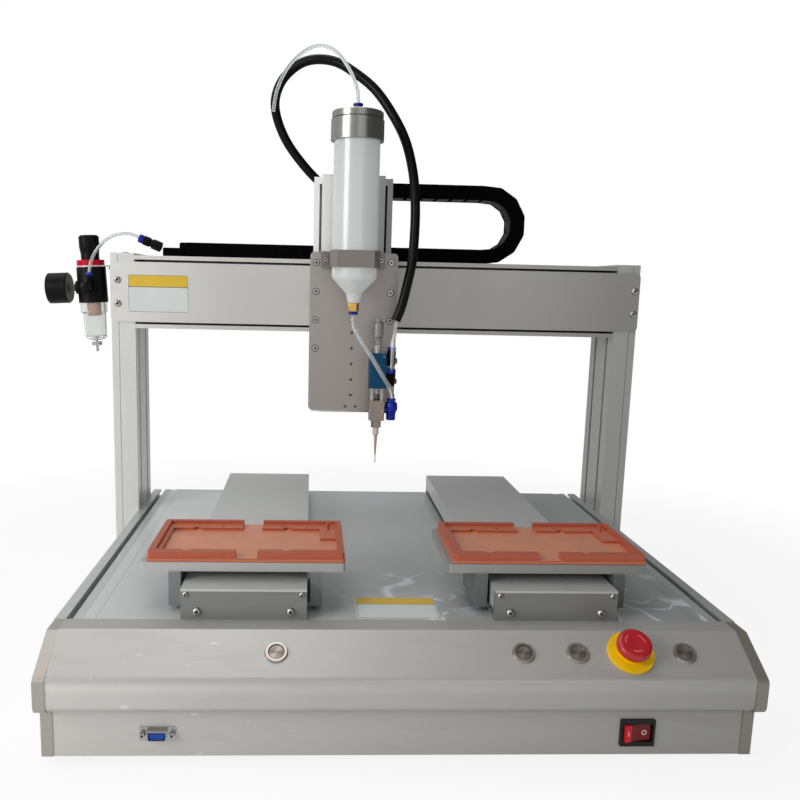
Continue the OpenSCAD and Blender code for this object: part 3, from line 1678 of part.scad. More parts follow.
// Frame on the gauge's dial, Z out of it to the left
module on_dial() {
  at_regulator() translate([0, 0, port_h]) rotate([0, -90, 0])
    translate([0, 0, gauge_reach + gauge_depth - gauge_recess]) children();
}

// Gauge on the left port: case, neck and a recessed dial
module pressure_gauge() {
  r = gauge_d / 2;
  dial = gauge_depth - gauge_recess;
  on_dial() translate([0, 0, -dial]) {
    color(black) difference() {
      rotate_extrude() polygon([
        [0, 0], [r - gauge_edge, 0], [r, gauge_edge], [r, gauge_depth - gauge_rim],
        [r - gauge_rim, gauge_depth], [r - gauge_bezel, gauge_depth],
        [r - gauge_bezel, dial], [0, dial]
      ]);
      rod(0, 0, dial - gauge_pin_l, gauge_pin_r + fit, gauge_depth);
    }
    neck_l = gauge_reach - reg_r - gauge_boss_out;
    color(brass) translate([0, 0, -neck_l]) cylinder(r = gauge_neck_r, h = neck_l, $fn = 6);
  }
}

module gauge_needle() {
  color(red) on_dial() {
    translate([0, 0, gap]) rotate([0, 0, hand_deg]) linear_extrude(hand_t) polygon([
      [-hand_back, -hand_half], [gauge_hand_r, -hand_tip], [gauge_hand_r, hand_tip],
      [-hand_back, hand_half]
    ]);
    rod(0, 0, gap - gauge_pin_l, gauge_pin_r, gauge_pin_l + hand_t);
  }
}

// Clear bowl and its guard ring
module filter_bowl() {
  r = bowl_d / 2;
  low = -guard_h - bowl_l;
  hole = drain_r + drain_play;
  outer = round_open([
    [guard_r, -seam], [guard_r, guard_edge - guard_h], [r, -guard_h - guard_edge],
    [r - bowl_taper, low], [hole, low]
  ], [0, guard_edge, guard_edge, bowl_round, 0]);
  inner = [
    [hole, low + bowl_wall], [r - bowl_round, low + bowl_wall],
    [r - bowl_wall - guard_edge, low + bowl_round], [r - bowl_wall, -guard_h],
    [r - bowl_wall, -seam]
  ];
  color(clear) at_regulator() rotate_extrude() polygon(concat(outer, inner));
}

module filter_element() {
  color(brass) at_regulator() difference() {
    rod(0, 0, -element_l, element_r, element_l - seam);
    rod(0, 0, -element_l - over, element_r / 2, element_l - element_floor);
  }
}

// Drain plug that is pushed up to let water out
module drain_valve() {
  low = -guard_h - bowl_l;
  color(steel) at_regulator() {
    rod(0, 0, low - drain_boss_h - drain_push, drain_boss_r, drain_boss_h - gap);
    rod(0, 0, low - drain_l, drain_r, drain_l + 2 * bowl_wall);
  }
}

// Supply hose with its push-in elbow and its inline connector
module supply_hose() {
  reg = [reg_x, reg_y, reg_z];
  color(clear) translate(reg) tube(supply_route, tube_r, 8);
  at_regulator() translate([0, -reg_r - boss_out, port_h]) {
    color(black) {
      rotate([90, 0, 0]) rod(0, 0, 0, supply_boss_r, supply_boss_l);
      translate([0, -supply_elbow_y, 0]) rotate([0, supply_tilt, 0])
        rod(0, 0, 0, supply_elbow_r, supply_elbow_l);
    }
    color(fitting_blue) translate([0, -supply_elbow_y, 0]) rotate([0, supply_tilt, 0])
      rod(0, 0, supply_elbow_l - seam, supply_ring_r, supply_ring_l);
  }
  translate(reg + route_step * supply_route[len(supply_route) - 1]) rotate([0, inline_tilt, 0]) {
    color(fitting_blue) rod(0, 0, -supply_ring_l, supply_ring_r, supply_ring_l + over);
    color(black) {
      rod(0, 0, over, inline_r, inline_l);
      rod(0, 0, inline_l, inline_neck_r, inline_neck_l);
      translate([0, 0, inline_l + inline_neck_l - over])
        cylinder(r = inline_nut_r, h = inline_nut_l, $fn = 6);
    }
  }
}

front_fascia();
end_caps();
side_frames();
deck_plate();
base_tray();
rubber_feet();
control_electronics();
column_left();
column_right();
beam_frame();
beam_cover();
guide_rails();
stepper_motors();
x_screw();
x_carriage();
y_frames();
y_covers();
y_left_screw();
y_right_screw();
y_left_carriage();
y_right_carriage();
y_left_jig();
y_right_jig();
z_frame();
z_cover();
z_motor();
z_screw();
z_plate();
tube_clamp();
reservoir_tube();
reservoir_cap();
valve_body();
fluid_body();
dispense_needle();
stroke_spindle();
stroke_thimble();
push_fittings();
clear_hoses();
hose_sleeve();
chain_lower_run();
chain_bend();
chain_upper_run();
panel_bezels();
push_button_1();
push_button_2();
push_button_3();
push_button_4();
estop_stem();
estop_head();
rocker();
serial_port();
regulator_body();
regulator_spindle();
regulator_knob();
pressure_gauge();
gauge_needle();
filter_bowl();
filter_element();
drain_valve();
supply_hose();
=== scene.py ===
"""Dresses a desktop dispensing robot and sets it in a plain studio.

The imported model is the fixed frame. Each class below holds one sub-assembly: its sizes, the
pieces that it builds, and the finishes that it gives to the model's own nodes. Sizes are in
millimetres until a piece is finished, and in metres from there on.
"""
import logging
import math
from dataclasses import dataclass, field
from enum import Enum
from typing import Optional, Sequence, Union

import bmesh
import bpy
from mathutils import Matrix, Vector


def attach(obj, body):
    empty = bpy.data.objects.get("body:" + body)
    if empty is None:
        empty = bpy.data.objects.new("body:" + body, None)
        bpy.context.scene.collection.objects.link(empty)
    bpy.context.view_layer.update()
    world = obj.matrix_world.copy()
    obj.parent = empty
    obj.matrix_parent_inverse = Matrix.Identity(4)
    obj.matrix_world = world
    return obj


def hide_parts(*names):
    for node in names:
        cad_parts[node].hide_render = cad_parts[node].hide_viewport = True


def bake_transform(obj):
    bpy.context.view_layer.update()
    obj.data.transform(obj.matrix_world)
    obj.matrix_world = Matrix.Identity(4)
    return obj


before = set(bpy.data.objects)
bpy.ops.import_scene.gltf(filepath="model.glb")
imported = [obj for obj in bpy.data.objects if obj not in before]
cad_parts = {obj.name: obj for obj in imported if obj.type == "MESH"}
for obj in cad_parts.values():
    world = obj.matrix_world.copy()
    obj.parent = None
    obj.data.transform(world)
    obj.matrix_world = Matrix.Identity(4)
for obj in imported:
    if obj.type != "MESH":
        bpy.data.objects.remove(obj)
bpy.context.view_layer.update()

MM = 0.001
LOG = logging.getLogger("robot")

Colour = tuple[int, int, int]
Point = tuple[float, float, float]


def linear(colour: Colour) -> tuple[float, float, float, float]:
    """Returns an 8-bit display colour as linear light.

    Args:
        colour: Red, green and blue from 0 to 255.

    Returns:
        The same colour in linear light, with an alpha of 1.
    """
    parts = []
    for value in colour:
        share = value / 255
        low = share <= 0.04045
        parts.append(share / 12.92 if low else ((share + 0.055) / 1.055) ** 2.4)
    return (parts[0], parts[1], parts[2], 1.0)


def at(x: float, y: float, z: float) -> Matrix:
    """Returns the frame that stands upright at a point in millimetres."""
    return Matrix.Translation((x, y, z))


def facing(x: float, y: float, z: float, way: str) -> Matrix:
    """Returns a frame at a point whose local Z looks along one row axis.

    Args:
        x: Place along the width.
        y: Place along the depth.
        z: Height.
        way: "-Y", "+Y", "-X", "+X", "-Z" or "+Z".

    Returns:
        The frame as a matrix.
    """
    quarter = math.pi / 2
    turns = {
        "-Y": Matrix.Rotation(quarter, 4, "X"),
        "+Y": Matrix.Rotation(-quarter, 4, "X"),
        "+X": Matrix.Rotation(quarter, 4, "Y"),
        "-X": Matrix.Rotation(-quarter, 4, "Y"),
        "+Z": Matrix.Identity(4),
        "-Z": Matrix.Rotation(math.pi, 4, "X"),
    }
    return Matrix.Translation((x, y, z)) @ turns[way]


class Signal:
    """One output of a shader node, on which Python's operators act."""

    def __init__(self, web: "Web", socket: bpy.types.NodeSocket) -> None:
        """Keeps the web that the node is in, and the node's output."""
        self.web = web
        self.socket = socket

    def _maths(self, operation: str, *terms: Union["Signal", float]) -> "Signal":
        """Returns a Math node's result for the terms."""
        return self.web.node("ShaderNodeMath", {"operation": operation},
                             dict(enumerate(terms)))

    def __add__(self, other: Union["Signal", float]) -> "Signal":
        """Returns the sum."""
        return self._maths("ADD", self, other)

    def __radd__(self, other: float) -> "Signal":
        """Returns the sum with a number in front."""
        return self._maths("ADD", other, self)

    def __sub__(self, other: Union["Signal", float]) -> "Signal":
        """Returns the difference."""
        return self._maths("SUBTRACT", self, other)

    def __rsub__(self, other: float) -> "Signal":
        """Returns a number less this."""
        return self._maths("SUBTRACT", other, self)

    def __mul__(self, other: Union["Signal", float]) -> "Signal":
        """Returns the product."""
        return self._maths("MULTIPLY", self, other)

    def __rmul__(self, other: float) -> "Signal":
        """Returns the product with a number in front."""
        return self._maths("MULTIPLY", other, self)

    def __truediv__(self, other: Union["Signal", float]) -> "Signal":
        """Returns the quotient."""
        return self._maths("DIVIDE", self, other)

    def __rtruediv__(self, other: float) -> "Signal":
        """Returns a number over this."""
        return self._maths("DIVIDE", other, self)

    def __pow__(self, other: float) -> "Signal":
        """Returns the power."""
        return self._maths("POWER", self, other)

    def __abs__(self) -> "Signal":
        """Returns the size without its sign."""
        return self._maths("ABSOLUTE", self)

    def sine(self) -> "Signal":
        """Returns the sine of an angle in radians."""
        return self._maths("SINE", self)

    def over(self, edge: float, soft: float = 0.0) -> "Signal":
        """Returns 1 above an edge and 0 below it.

        Args:
            edge: The value at the middle of the step.
            soft: Half the width over which the step rises.

        Returns:
            The mask.
        """
        if soft <= 0:
            return self._maths("GREATER_THAN", self, edge)
        return self.web.node(
            "ShaderNodeMapRange", {"interpolation_type": "SMOOTHSTEP"},
            {"Value": self, "From Min": edge - soft, "From Max": edge + soft})

    def within(self, low: float, high: float, soft: float = 0.0) -> "Signal":
        """Returns 1 between two edges and 0 outside them."""
        return self.over(low, soft) * (1 - self.over(high, soft))


class Web:
    """The node tree of one material."""

    def __init__(self, name: str) -> None:
        """Starts an empty tree in a new material of that name."""
        self.material = bpy.data.materials.new(name)
        self.material.use_nodes = True
        self.tree = self.material.node_tree
        self.tree.nodes.clear()

    def node(self, kind: str, settings: Optional[dict] = None,
             inputs: Optional[dict] = None, output: Union[int, str] = 0) -> Signal:
        """Adds a node and wires it up.

        Args:
            kind: The node's type.
            settings: Its own settings, set first; "stops" fills a ramp.
            inputs: Values or signals by the socket's name or number.
            output: The output to return, by name or number.

        Returns:
            The chosen output.
        """
        made = self.tree.nodes.new(kind)
        for key, value in (settings or {}).items():
            if key == "stops":
                while len(made.color_ramp.elements) < len(value):
                    made.color_ramp.elements.new(1.0)
                for stop, (place, shade) in zip(made.color_ramp.elements, value):
                    stop.position = place
                    stop.color = shade
            else:
                setattr(made, key, value)
        for key, value in (inputs or {}).items():
            if isinstance(value, Signal):
                self.tree.links.new(value.socket, made.inputs[key])
            else:
                made.inputs[key].default_value = value
        return Signal(self, made.outputs[output])

    def place(self, centre: Point = (0.0, 0.0, 0.0),
              turn: Point = (0.0, 0.0, 0.0), scale: Point = (1.0, 1.0, 1.0)) -> Signal:
        """Returns object coordinates in metres about a centre, turned and stretched."""
        where = self.node("ShaderNodeTexCoord", output="Object")
        local = self.node("ShaderNodeMapping", {"vector_type": "TEXTURE"},
                          {"Vector": where, "Location": centre, "Rotation": turn})
        return self.node("ShaderNodeMapping", {"vector_type": "POINT"},
                         {"Vector": local, "Scale": scale})

    def noise(self, where: Signal, scale: float, detail: float = 3.0,
              distortion: float = 0.0) -> Signal:
        """Returns cloudy noise about 0.5."""
        return self.node("ShaderNodeTexNoise", {"noise_dimensions": "3D"},
                         {"Vector": where, "Scale": scale, "Detail": detail,
                          "Distortion": distortion})

    def axes(self, where: Signal) -> tuple[Signal, Signal, Signal]:
        """Returns the three parts of a vector."""
        parts = self.node("ShaderNodeSeparateXYZ", inputs={0: where})
        outs = parts.socket.node.outputs
        return tuple(Signal(self, out) for out in outs)

    def painted_light_fall(self, ends: tuple[float, float], span: tuple[float, float]) -> Signal:
        """Returns a painted light-and-shade factor that runs straight from the left end's
        value to the right's.
        """
        across = self.axes(self.place())[0]
        return self.node("ShaderNodeMapRange", {}, {
            "Value": across, "From Min": span[0] * MM, "From Max": span[1] * MM,
            "To Min": ends[0], "To Max": ends[1]})

    def blend(self, mask: Union[Signal, float], first: Union[Signal, tuple],
              second: Union[Signal, tuple]) -> Signal:
        """Returns the first colour where the mask is 0 and the second where it is 1."""
        return self.node("ShaderNodeMix", {"data_type": "RGBA"},
                         {0: mask, 6: first, 7: second}, output=2)

    def shade(self, colour: Union[Signal, tuple], factor: Signal) -> Signal:
        """Returns a colour times a factor."""
        value = colour if isinstance(colour, Signal) else colour[:3]
        return self.node("ShaderNodeVectorMath", {"operation": "SCALE"},
                         {0: value, "Scale": factor})

    def bump(self, height: Signal, depth_mm: float, strength: float = 1.0) -> Signal:
        """Returns a normal that is raised by a height from 0 to 1."""
        return self.node("ShaderNodeBump", {},
                         {"Height": height, "Strength": strength,
                          "Distance": depth_mm * MM}, output="Normal")

    def finish(self, inputs: dict) -> bpy.types.Material:
        """Joins a Principled shader to the material's output.

        Args:
            inputs: Values or signals by the shader's socket names.

        Returns:
            The finished material.
        """
        shader = self.node("ShaderNodeBsdfPrincipled", {}, inputs, output="BSDF")
        self.node_out(shader)
        return self.material

    def node_out(self, shader: Signal) -> None:
        """Joins a shader to the material's output."""
        out = self.tree.nodes.new("ShaderNodeOutputMaterial")
        self.tree.links.new(shader.socket, out.inputs["Surface"])


class Grain(Enum):
    """The way that a drawn or brushed metal's grain runs."""

    ACROSS = (2.0, 900.0, 900.0)
    DEEP = (900.0, 2.0, 900.0)
    UPRIGHT = (900.0, 900.0, 2.0)
    NONE = (300.0, 300.0, 300.0)


@dataclass(frozen=True)
class Finish:
    """What one surface looks like; material() makes it once."""

    name: str
    colour: Colour
    roughness: float = 0.4
    metallic: float = 0.0
    slot: str = "silver"
    # Painted light: a straight ramp in X that scales the base colour, lighter at one end and
    # darker at the other, as the light falls across the robot.
    painted_light_fall: tuple[float, float] = field(default=(1.0, 1.0), kw_only=True)
    painted_light_span: tuple[float, float] = field(default=(-310.0, 310.0), kw_only=True)

    def material(self) -> bpy.types.Material:
        """Returns the finish's material, and makes it the first time."""
        found = bpy.data.materials.get(self.name)
        if found is not None:
            return found
        web = Web(self.name)
        inputs = self.paint(web)
        # Painted light and shade: the base colour is scaled along X by the ramp.
        if self.painted_light_fall != (1.0, 1.0):
            inputs["Base Color"] = web.shade(inputs["Base Color"],
                                             web.painted_light_fall(self.painted_light_fall, self.painted_light_span))
        return web.finish(inputs)

    def paint(self, web: Web) -> dict:
        """Returns the shader's inputs."""
        return {"Base Color": linear(self.colour), "Roughness": self.roughness,
                "Metallic": self.metallic}


@dataclass(frozen=True)
class Anodised(Finish):
    """Extruded or milled aluminium: faint drawn grain, fine blasting and hand marks."""

    grain: Grain = Grain.NONE
    grain_depth: float = 0.06
    mottle: float = 0.05
    blast: float = 0.05

    def paint(self, web: Web) -> dict:
        """Returns the shader's inputs."""
        where = web.place()
        drawn = web.noise(web.place(scale=self.grain.value), 1.0, 3.0)
        cloud = web.noise(where, 7.0, 3.0, 0.6)
        spot = web.noise(where, 38.0, 4.0)
        fine = web.noise(where, 2600.0, 2.0)
        factor = (1 + (drawn - 0.5) * self.grain_depth + (cloud - 0.5) * self.mottle
                  + (fine - 0.5) * self.blast)
        rough = (self.roughness + (cloud - 0.5) * 0.14 + (drawn - 0.5) * 0.08
                 + (spot - 0.5) * 0.06)
        return {"Base Color": web.shade(linear(self.colour), factor),
                "Roughness": rough, "Metallic": self.metallic,
                "Normal": web.bump(fine * 0.6 + drawn * 0.4, 0.012)}


@dataclass(frozen=True)
class FoldedFascia(Anodised):
    """The front extrusion, with a painted highlight along its nose, painted shade in the
    crease below, and its slope painted darker on the left and lighter on the right.
    """

    nose_z: float = 71.0
    crease_shade_z: float = 46.0
    slope_z: float = 76.0
    half: float = 310.0

    def paint(self, web: Web) -> dict:
        """Returns the shader's inputs."""
        inputs = super().paint(web)
        x, _, z = web.axes(web.place())
        # Painted light: a highlight band along the nose, a shade band in the crease under it,
        # and on the slope painted shade on the left and painted light on the right.
        nose_highlight = 1 - (abs(z - self.nose_z * MM) / (7.0 * MM)).over(0.5, 0.5)
        crease = 1 - (abs(z - self.crease_shade_z * MM) / (9.0 * MM)).over(0.5, 0.5)
        side = x / (self.half * MM)
        grime = web.noise(web.place(scale=(14.0, 14.0, 120.0)), 1.0, 4.0, 0.5)
        slope = (z / (self.slope_z * MM)).over(1.0, 0.05)
        factor = (1 + nose_highlight * 0.12 - crease * 0.2 + slope * (side * 0.27 - 0.02)
                  - grime.over(0.62, 0.06) * 0.04)
        scuff = web.noise(web.place(scale=(40.0, 90.0, 160.0)), 1.0, 4.0, 0.3)
        white = (scuff.over(0.7, 0.02) * (1 - side.over(-0.35, 0.25)) * 0.35)
        inputs["Base Color"] = web.blend(
            white, web.shade(inputs["Base Color"], factor), linear((232, 232, 228)))
        return inputs


@dataclass(frozen=True)
class FilmedMetal(Finish):
    """Grey sheet under a loose protective film, with pale creases and bubbles, and its rear
    painted lighter as a painted reflection.
    """

    crease: Colour = (224, 228, 230)
    film_low: float = -0.225
    film_high: float = -0.09
    loose_from: float = -0.08
    film_edge: float = 0.2742

    def paint(self, web: Web) -> dict:
        """Returns the shader's inputs."""
        where = web.place()
        across, deep, _ = web.axes(where)
        cloud = web.noise(where, 6.0, 3.0, 0.8)
        fine = web.noise(where, 2200.0, 2.0)
        bent = web.noise(where, 9.0, 2.0, 1.6)
        fold = web.node("ShaderNodeTexWave", {"wave_type": "BANDS"},
                        {"Vector": web.place(turn=(0.0, 0.0, 0.7)), "Scale": 5.5,
                         "Distortion": 14.0, "Detail": 2.0, "Detail Scale": 1.4},
                        output="Fac")
        ridge = web.node("ShaderNodeTexWave", {"wave_type": "BANDS"},
                         {"Vector": web.place(turn=(0.0, 0.0, -0.9)), "Scale": 8.0,
                          "Distortion": 11.0, "Detail": 2.0, "Detail Scale": 2.1},
                         output="Fac")
        front = deep.within(self.film_low, self.film_high, 0.02)
        sparse = bent.over(0.5, 0.07)
        loose = across.over(self.loose_from, 0.02)
        lines = ((fold ** 20.0 + ridge ** 26.0) * sparse * (front * 0.95 + 0.06)
                 * (loose * 0.9 + 0.1))
        haze = (web.noise(where, 22.0, 4.0, 1.0).over(0.6, 0.05) * loose
                * (front * 0.3 + 0.05))
        white = lines * 0.9 + haze
        base = web.shade(linear(self.colour), 1 + (cloud - 0.5) * 0.1 + (fine - 0.5) * 0.04)
        seam = 1 - (abs(abs(across) - self.film_edge) / 0.0006).over(1.0, 0.4)
        # Painted reflection: the deck's rear is painted up to a quarter lighter; the seam at
        # the film's edge is a dark line.
        base = web.shade(base, 1 + deep.over(0.06, 0.16) * 0.25 - seam * 0.22)
        return {"Base Color": web.blend(white, base, linear(self.crease)),
                "Roughness": self.roughness + (cloud - 0.5) * 0.2 + lines * 0.1,
                "Metallic": self.metallic * (1 - white),
                "Normal": web.bump(fold * 0.5 + lines * 3.0 + cloud, 0.25, 0.35)}


@dataclass(frozen=True)
class MilledFixture(Finish):
    """A reddish anodised fixture whose milled floor is paler, with cutter marks."""

    floor: Colour = (214, 142, 108)
    floor_z: float = 153.5
    low_z: float = 150.0
    top_z: float = 159.0

    def paint(self, web: Web) -> dict:
        """Returns the shader's inputs."""
        where = web.place()
        _, _, high = web.axes(where)
        facing_up = web.axes(web.node("ShaderNodeNewGeometry", output="True Normal"))[2]
        flat = facing_up.over(0.8, 0.05)
        floor = flat * high.within((self.floor_z - 1) * MM, (self.floor_z + 1) * MM)
        step = flat * high.within((self.floor_z + 1) * MM, (self.top_z - 1) * MM)
        cloud = web.noise(where, 30.0, 4.0, 0.8)
        rings = web.node("ShaderNodeTexWave", {"wave_type": "RINGS",
                                               "rings_direction": "Z"},
                         {"Vector": web.place(centre=(-0.142, -0.13, 0.0)),
                          "Scale": 700.0, "Distortion": 2.0, "Detail": 2.0},
                         output="Fac")
        drawn = web.noise(web.place(scale=Grain.ACROSS.value), 1.0, 3.0)
        pale = floor * 0.92 + step * 0.35
        colour = web.blend(pale, linear(self.colour), linear(self.floor))
        factor = 1 + (cloud - 0.5) * (0.12 + floor * 0.3) + (drawn - 0.5) * 0.12
        side_band = (1 - flat) * high.within(150.4 * MM, 152.4 * MM)
        colour = web.blend(side_band * 0.55, colour, linear((214, 132, 96)))
        return {"Base Color": web.shade(colour, factor),
                "Roughness": self.roughness - floor * 0.06 + (cloud - 0.5) * 0.15,
                "Metallic": self.metallic,
                "Normal": web.bump(rings * floor * 0.7 + drawn * 0.5, 0.02)}


@dataclass(frozen=True)
class Zone:
    """A box of space, in millimetres, where a surface changes its look."""

    low: Point
    high: Point
    colour: Colour
    roughness: float = 0.4
    metallic: float = 0.0


@dataclass(frozen=True)
class Zoned(Finish):
    """One solid whose parts have their own colours, split by where they are."""

    zones: tuple[Zone, ...] = ()
    origin: Point = (0.0, 0.0, 0.0)
    lean: float = 0.0
    tilt: float = 0.0
    mottle: float = 0.12
    shine: float = 0.3

    def paint(self, web: Web) -> dict:
        """Returns the shader's inputs."""
        where = web.place()
        local = web.place(centre=tuple(value * MM for value in self.origin),
                          turn=(self.tilt, self.lean, 0.0))
        parts = web.axes(local)
        colour: Union[Signal, tuple] = linear(self.colour)
        rough: Union[Signal, float] = self.roughness
        metal: Union[Signal, float] = self.metallic
        for zone in self.zones:
            mask: Union[Signal, float] = 1.0
            for part, low, high in zip(parts, zone.low, zone.high):
                if low > -5000:
                    mask = part.over(low * MM) * mask
                if high < 5000:
                    mask = (1 - part.over(high * MM)) * mask
            colour = web.blend(mask, colour, linear(zone.colour))
            rough = (1 - mask) * rough + mask * zone.roughness
            metal = (1 - mask) * metal + mask * zone.metallic
        cloud = web.noise(where, 55.0, 4.0, 0.6)
        fine = web.noise(where, 1500.0, 3.0)
        return {"Base Color": web.shade(colour, 1 + (cloud - 0.5) * self.mottle
                                        + (fine - 0.5) * 0.08),
                "Roughness": rough + (cloud - 0.5) * 0.12 + (fine - 0.5) * 0.05,
                "Metallic": metal, "Specular IOR Level": self.shine,
                "Normal": web.bump(fine, 0.012)}


@dataclass(frozen=True)
class SpunSteel(Finish):
    """A turned face: fine rings, and a painted bow-tie highlight in its colour, where the
    rings would catch the light.
    """

    centre: Point = (0.0, 0.0, 0.0)
    tilt: float = 0.0
    bow_highlight: float = 0.35
    swing: float = 0.4
    rings: float = 5200.0

    def paint(self, web: Web) -> dict:
        """Returns the shader's inputs."""
        centre = tuple(value * MM for value in self.centre)
        local = web.place(centre=centre, turn=(self.tilt, 0.0, 0.0))
        x, y, _ = web.axes(local)
        angle = web.node("ShaderNodeMath", {"operation": "ARCTAN2"}, {0: y, 1: x})
        # Painted highlight: a bow-tie of lighter and darker colour round the face's centre.
        bow_highlight = ((angle + self.swing) * 2.0).sine() * 0.6 + ((angle + 1.1) * 4.0).sine() * 0.25
        radius = web.node("ShaderNodeMath", {"operation": "SQRT"}, {0: x * x + y * y})
        ring = (radius * self.rings).sine() * 0.5 + 0.5
        cloud = web.noise(local, 900.0, 3.0)
        factor = 1 + bow_highlight * self.bow_highlight + (ring - 0.5) * 0.1 + (cloud - 0.5) * 0.1
        return {"Base Color": web.shade(linear(self.colour), factor),
                "Roughness": self.roughness + (ring - 0.5) * 0.06,
                "Metallic": self.metallic,
                "Normal": web.bump(ring, 0.01)}


@dataclass(frozen=True)
class Turned(Finish):
    """A lathe-turned metal: fine lines round an upright or lying axis, and light wear."""

    lines: Point = (0.0, 0.0, 9000.0)
    depth: float = 0.008

    def paint(self, web: Web) -> dict:
        """Returns the shader's inputs."""
        where = web.place()
        along = web.axes(web.place(scale=self.lines))
        ring = (along[0] + along[1] + along[2]).sine() * 0.5 + 0.5
        cloud = web.noise(where, 60.0, 4.0, 0.5)
        fine = web.noise(where, 1400.0, 3.0)
        factor = 1 + (cloud - 0.5) * 0.12 + (fine - 0.5) * 0.07 + (ring - 0.5) * 0.04
        return {"Base Color": web.shade(linear(self.colour), factor),
                "Roughness": self.roughness + (cloud - 0.5) * 0.12 + (fine - 0.5) * 0.05,
                "Metallic": self.metallic,
                "Normal": web.bump(ring * 0.5 + fine * 0.5, self.depth)}


@dataclass(frozen=True)
class Moulded(Finish):
    """Moulded plastic or paint: fine pebbling, dull patches and rubbed places."""

    grain: float = 1500.0
    depth: float = 0.02
    scuff: float = 0.12
    coat: float = 0.0
    shine: float = 0.5
    rub: Colour = (90, 90, 92)

    def paint(self, web: Web) -> dict:
        """Returns the shader's inputs."""
        where = web.place()
        pebble = web.noise(where, self.grain, 3.0)
        cloud = web.noise(where, 24.0, 4.0, 0.6)
        speck = web.noise(where, 210.0, 5.0, 0.4).over(0.68, 0.03)
        base = web.shade(linear(self.colour), 1 + (cloud - 0.5) * self.scuff * 2
                         + (pebble - 0.5) * 0.08)
        return {"Base Color": web.blend(speck * self.scuff, base, linear(self.rub)),
                "Roughness": self.roughness + (cloud - 0.5) * 0.2 + (pebble - 0.5) * 0.06,
                "Metallic": self.metallic, "Coat Weight": self.coat,
                "Coat Roughness": 0.12, "Specular IOR Level": self.shine,
                "Normal": web.bump(pebble, self.depth)}


@dataclass(frozen=True)
class ClearPlastic(Finish):
    """See-through plastic with faint waves and a slight tint."""

    through: float = 0.95
    wave: float = 0.06

    def paint(self, web: Web) -> dict:
        """Returns the shader's inputs."""
        where = web.place()
        wave = web.noise(where, 90.0, 3.0, 0.6)
        haze = web.noise(where, 500.0, 3.0)
        return {"Base Color": web.shade(linear(self.colour), 1 + (wave - 0.5) * self.wave),
                "Roughness": self.roughness + (haze - 0.5) * 0.06,
                "Transmission Weight": self.through, "IOR": 1.46,
                "Normal": web.bump(wave, 0.015)}


@dataclass(frozen=True)
class MilkyPlastic(Finish):
    """Cloudy polypropylene: light goes in and scatters, the surface is smooth, and a faint
    painted glow lifts its shaded side.
    """

    through: float = 0.12

    def paint(self, web: Web) -> dict:
        """Returns the shader's inputs."""
        where = web.place()
        cloud = web.noise(web.place(scale=(18.0, 18.0, 5.0)), 1.0, 3.0, 0.4)
        fine = web.noise(where, 700.0, 3.0)
        return {"Base Color": web.shade(linear(self.colour), 1 + (cloud - 0.5) * 0.05),
                "Roughness": self.roughness + (fine - 0.5) * 0.05 + (cloud - 0.5) * 0.08,
                "Transmission Weight": self.through, "IOR": 1.49,
                "Subsurface Weight": 0.7, "Subsurface Scale": 0.02,
                "Subsurface Radius": (1.0, 1.0, 1.0),
                # Painted light: a faint white glow that lifts the tank where it falls into
                # shade; the tank is no lamp.
                "Emission Color": (0.96, 1.0, 0.99, 1.0), "Emission Strength": 0.13,
                "Coat Weight": 0.3, "Coat Roughness": 0.08,
                "Normal": web.bump(cloud * 0.8 + fine * 0.2, 0.04)}


@dataclass(frozen=True)
class SheathPlastic(Finish):
    """A glossy black sheath whose faint helix follows the piece's own length."""

    pitch: float = 4.0

    def paint(self, web: Web) -> dict:
        """Returns the shader's inputs."""
        along = web.node("ShaderNodeAttribute", {"attribute_name": "along"}, output="Fac")
        around = web.node("ShaderNodeAttribute", {"attribute_name": "around"},
                          output="Fac")
        helix = (along * (2 * math.pi / (self.pitch * MM)) + around).sine() * 0.5 + 0.5
        where = web.place()
        cloud = web.noise(where, 40.0, 3.0)
        fine = web.noise(where, 1200.0, 2.0)
        return {"Base Color": web.shade(linear(self.colour), 1 + (cloud - 0.5) * 0.4),
                "Roughness": self.roughness + (cloud - 0.5) * 0.2,
                "Specular IOR Level": 0.12,
                "Normal": web.bump(helix * 0.7 + fine * 0.3, 0.08, 0.5)}


SLOPE_TILT = math.radians(32.4)
# Painted light: ten finishes below carry a straight ramp in X between two values, lighter on
# the left and darker on the right, as the light falls.
FASCIA = FoldedFascia("fascia_silver", (184, 183, 179), 0.4, 0.4, grain=Grain.ACROSS,
                      painted_light_fall=(1.25, 0.67))
CAP_GREY = Anodised("cap_grey", (158, 153, 146), 0.42, 0.6, grain=Grain.UPRIGHT,
                    painted_light_fall=(1.2, 0.76))
UPRIGHT = Anodised("upright_silver", (206, 207, 204), 0.36, 0.45, grain=Grain.UPRIGHT,
                   painted_light_fall=(1.05, 0.62))
RAIL_SIDE = Anodised("side_rail_silver", (196, 198, 198), 0.38, 0.5, grain=Grain.DEEP,
                     painted_light_fall=(1.0, 0.8))
BEAM = Anodised("beam_silver", (200, 199, 195), 0.36, 0.45, grain=Grain.ACROSS,
                painted_light_fall=(1.15, 0.5))
DECK = FilmedMetal("deck_grey", (178, 180, 181), 0.33, 0.3, "dark_silver",
                   painted_light_fall=(1.4, 0.7))
TRAY = Moulded("tray_grey", (128, 131, 134), 0.5, 0.2, "dark_silver", grain=900.0)
COVER_GREY = Anodised("cover_grey", (192, 194, 192), 0.4, 0.4, "dark_silver",
                      grain=Grain.DEEP, painted_light_fall=(1.15, 0.85))
END_GREY = Anodised("end_plate_grey", (129, 130, 128), 0.42, 0.35, "dark_silver",
                    grain=Grain.ACROSS, mottle=0.08, painted_light_fall=(1.1, 0.85))
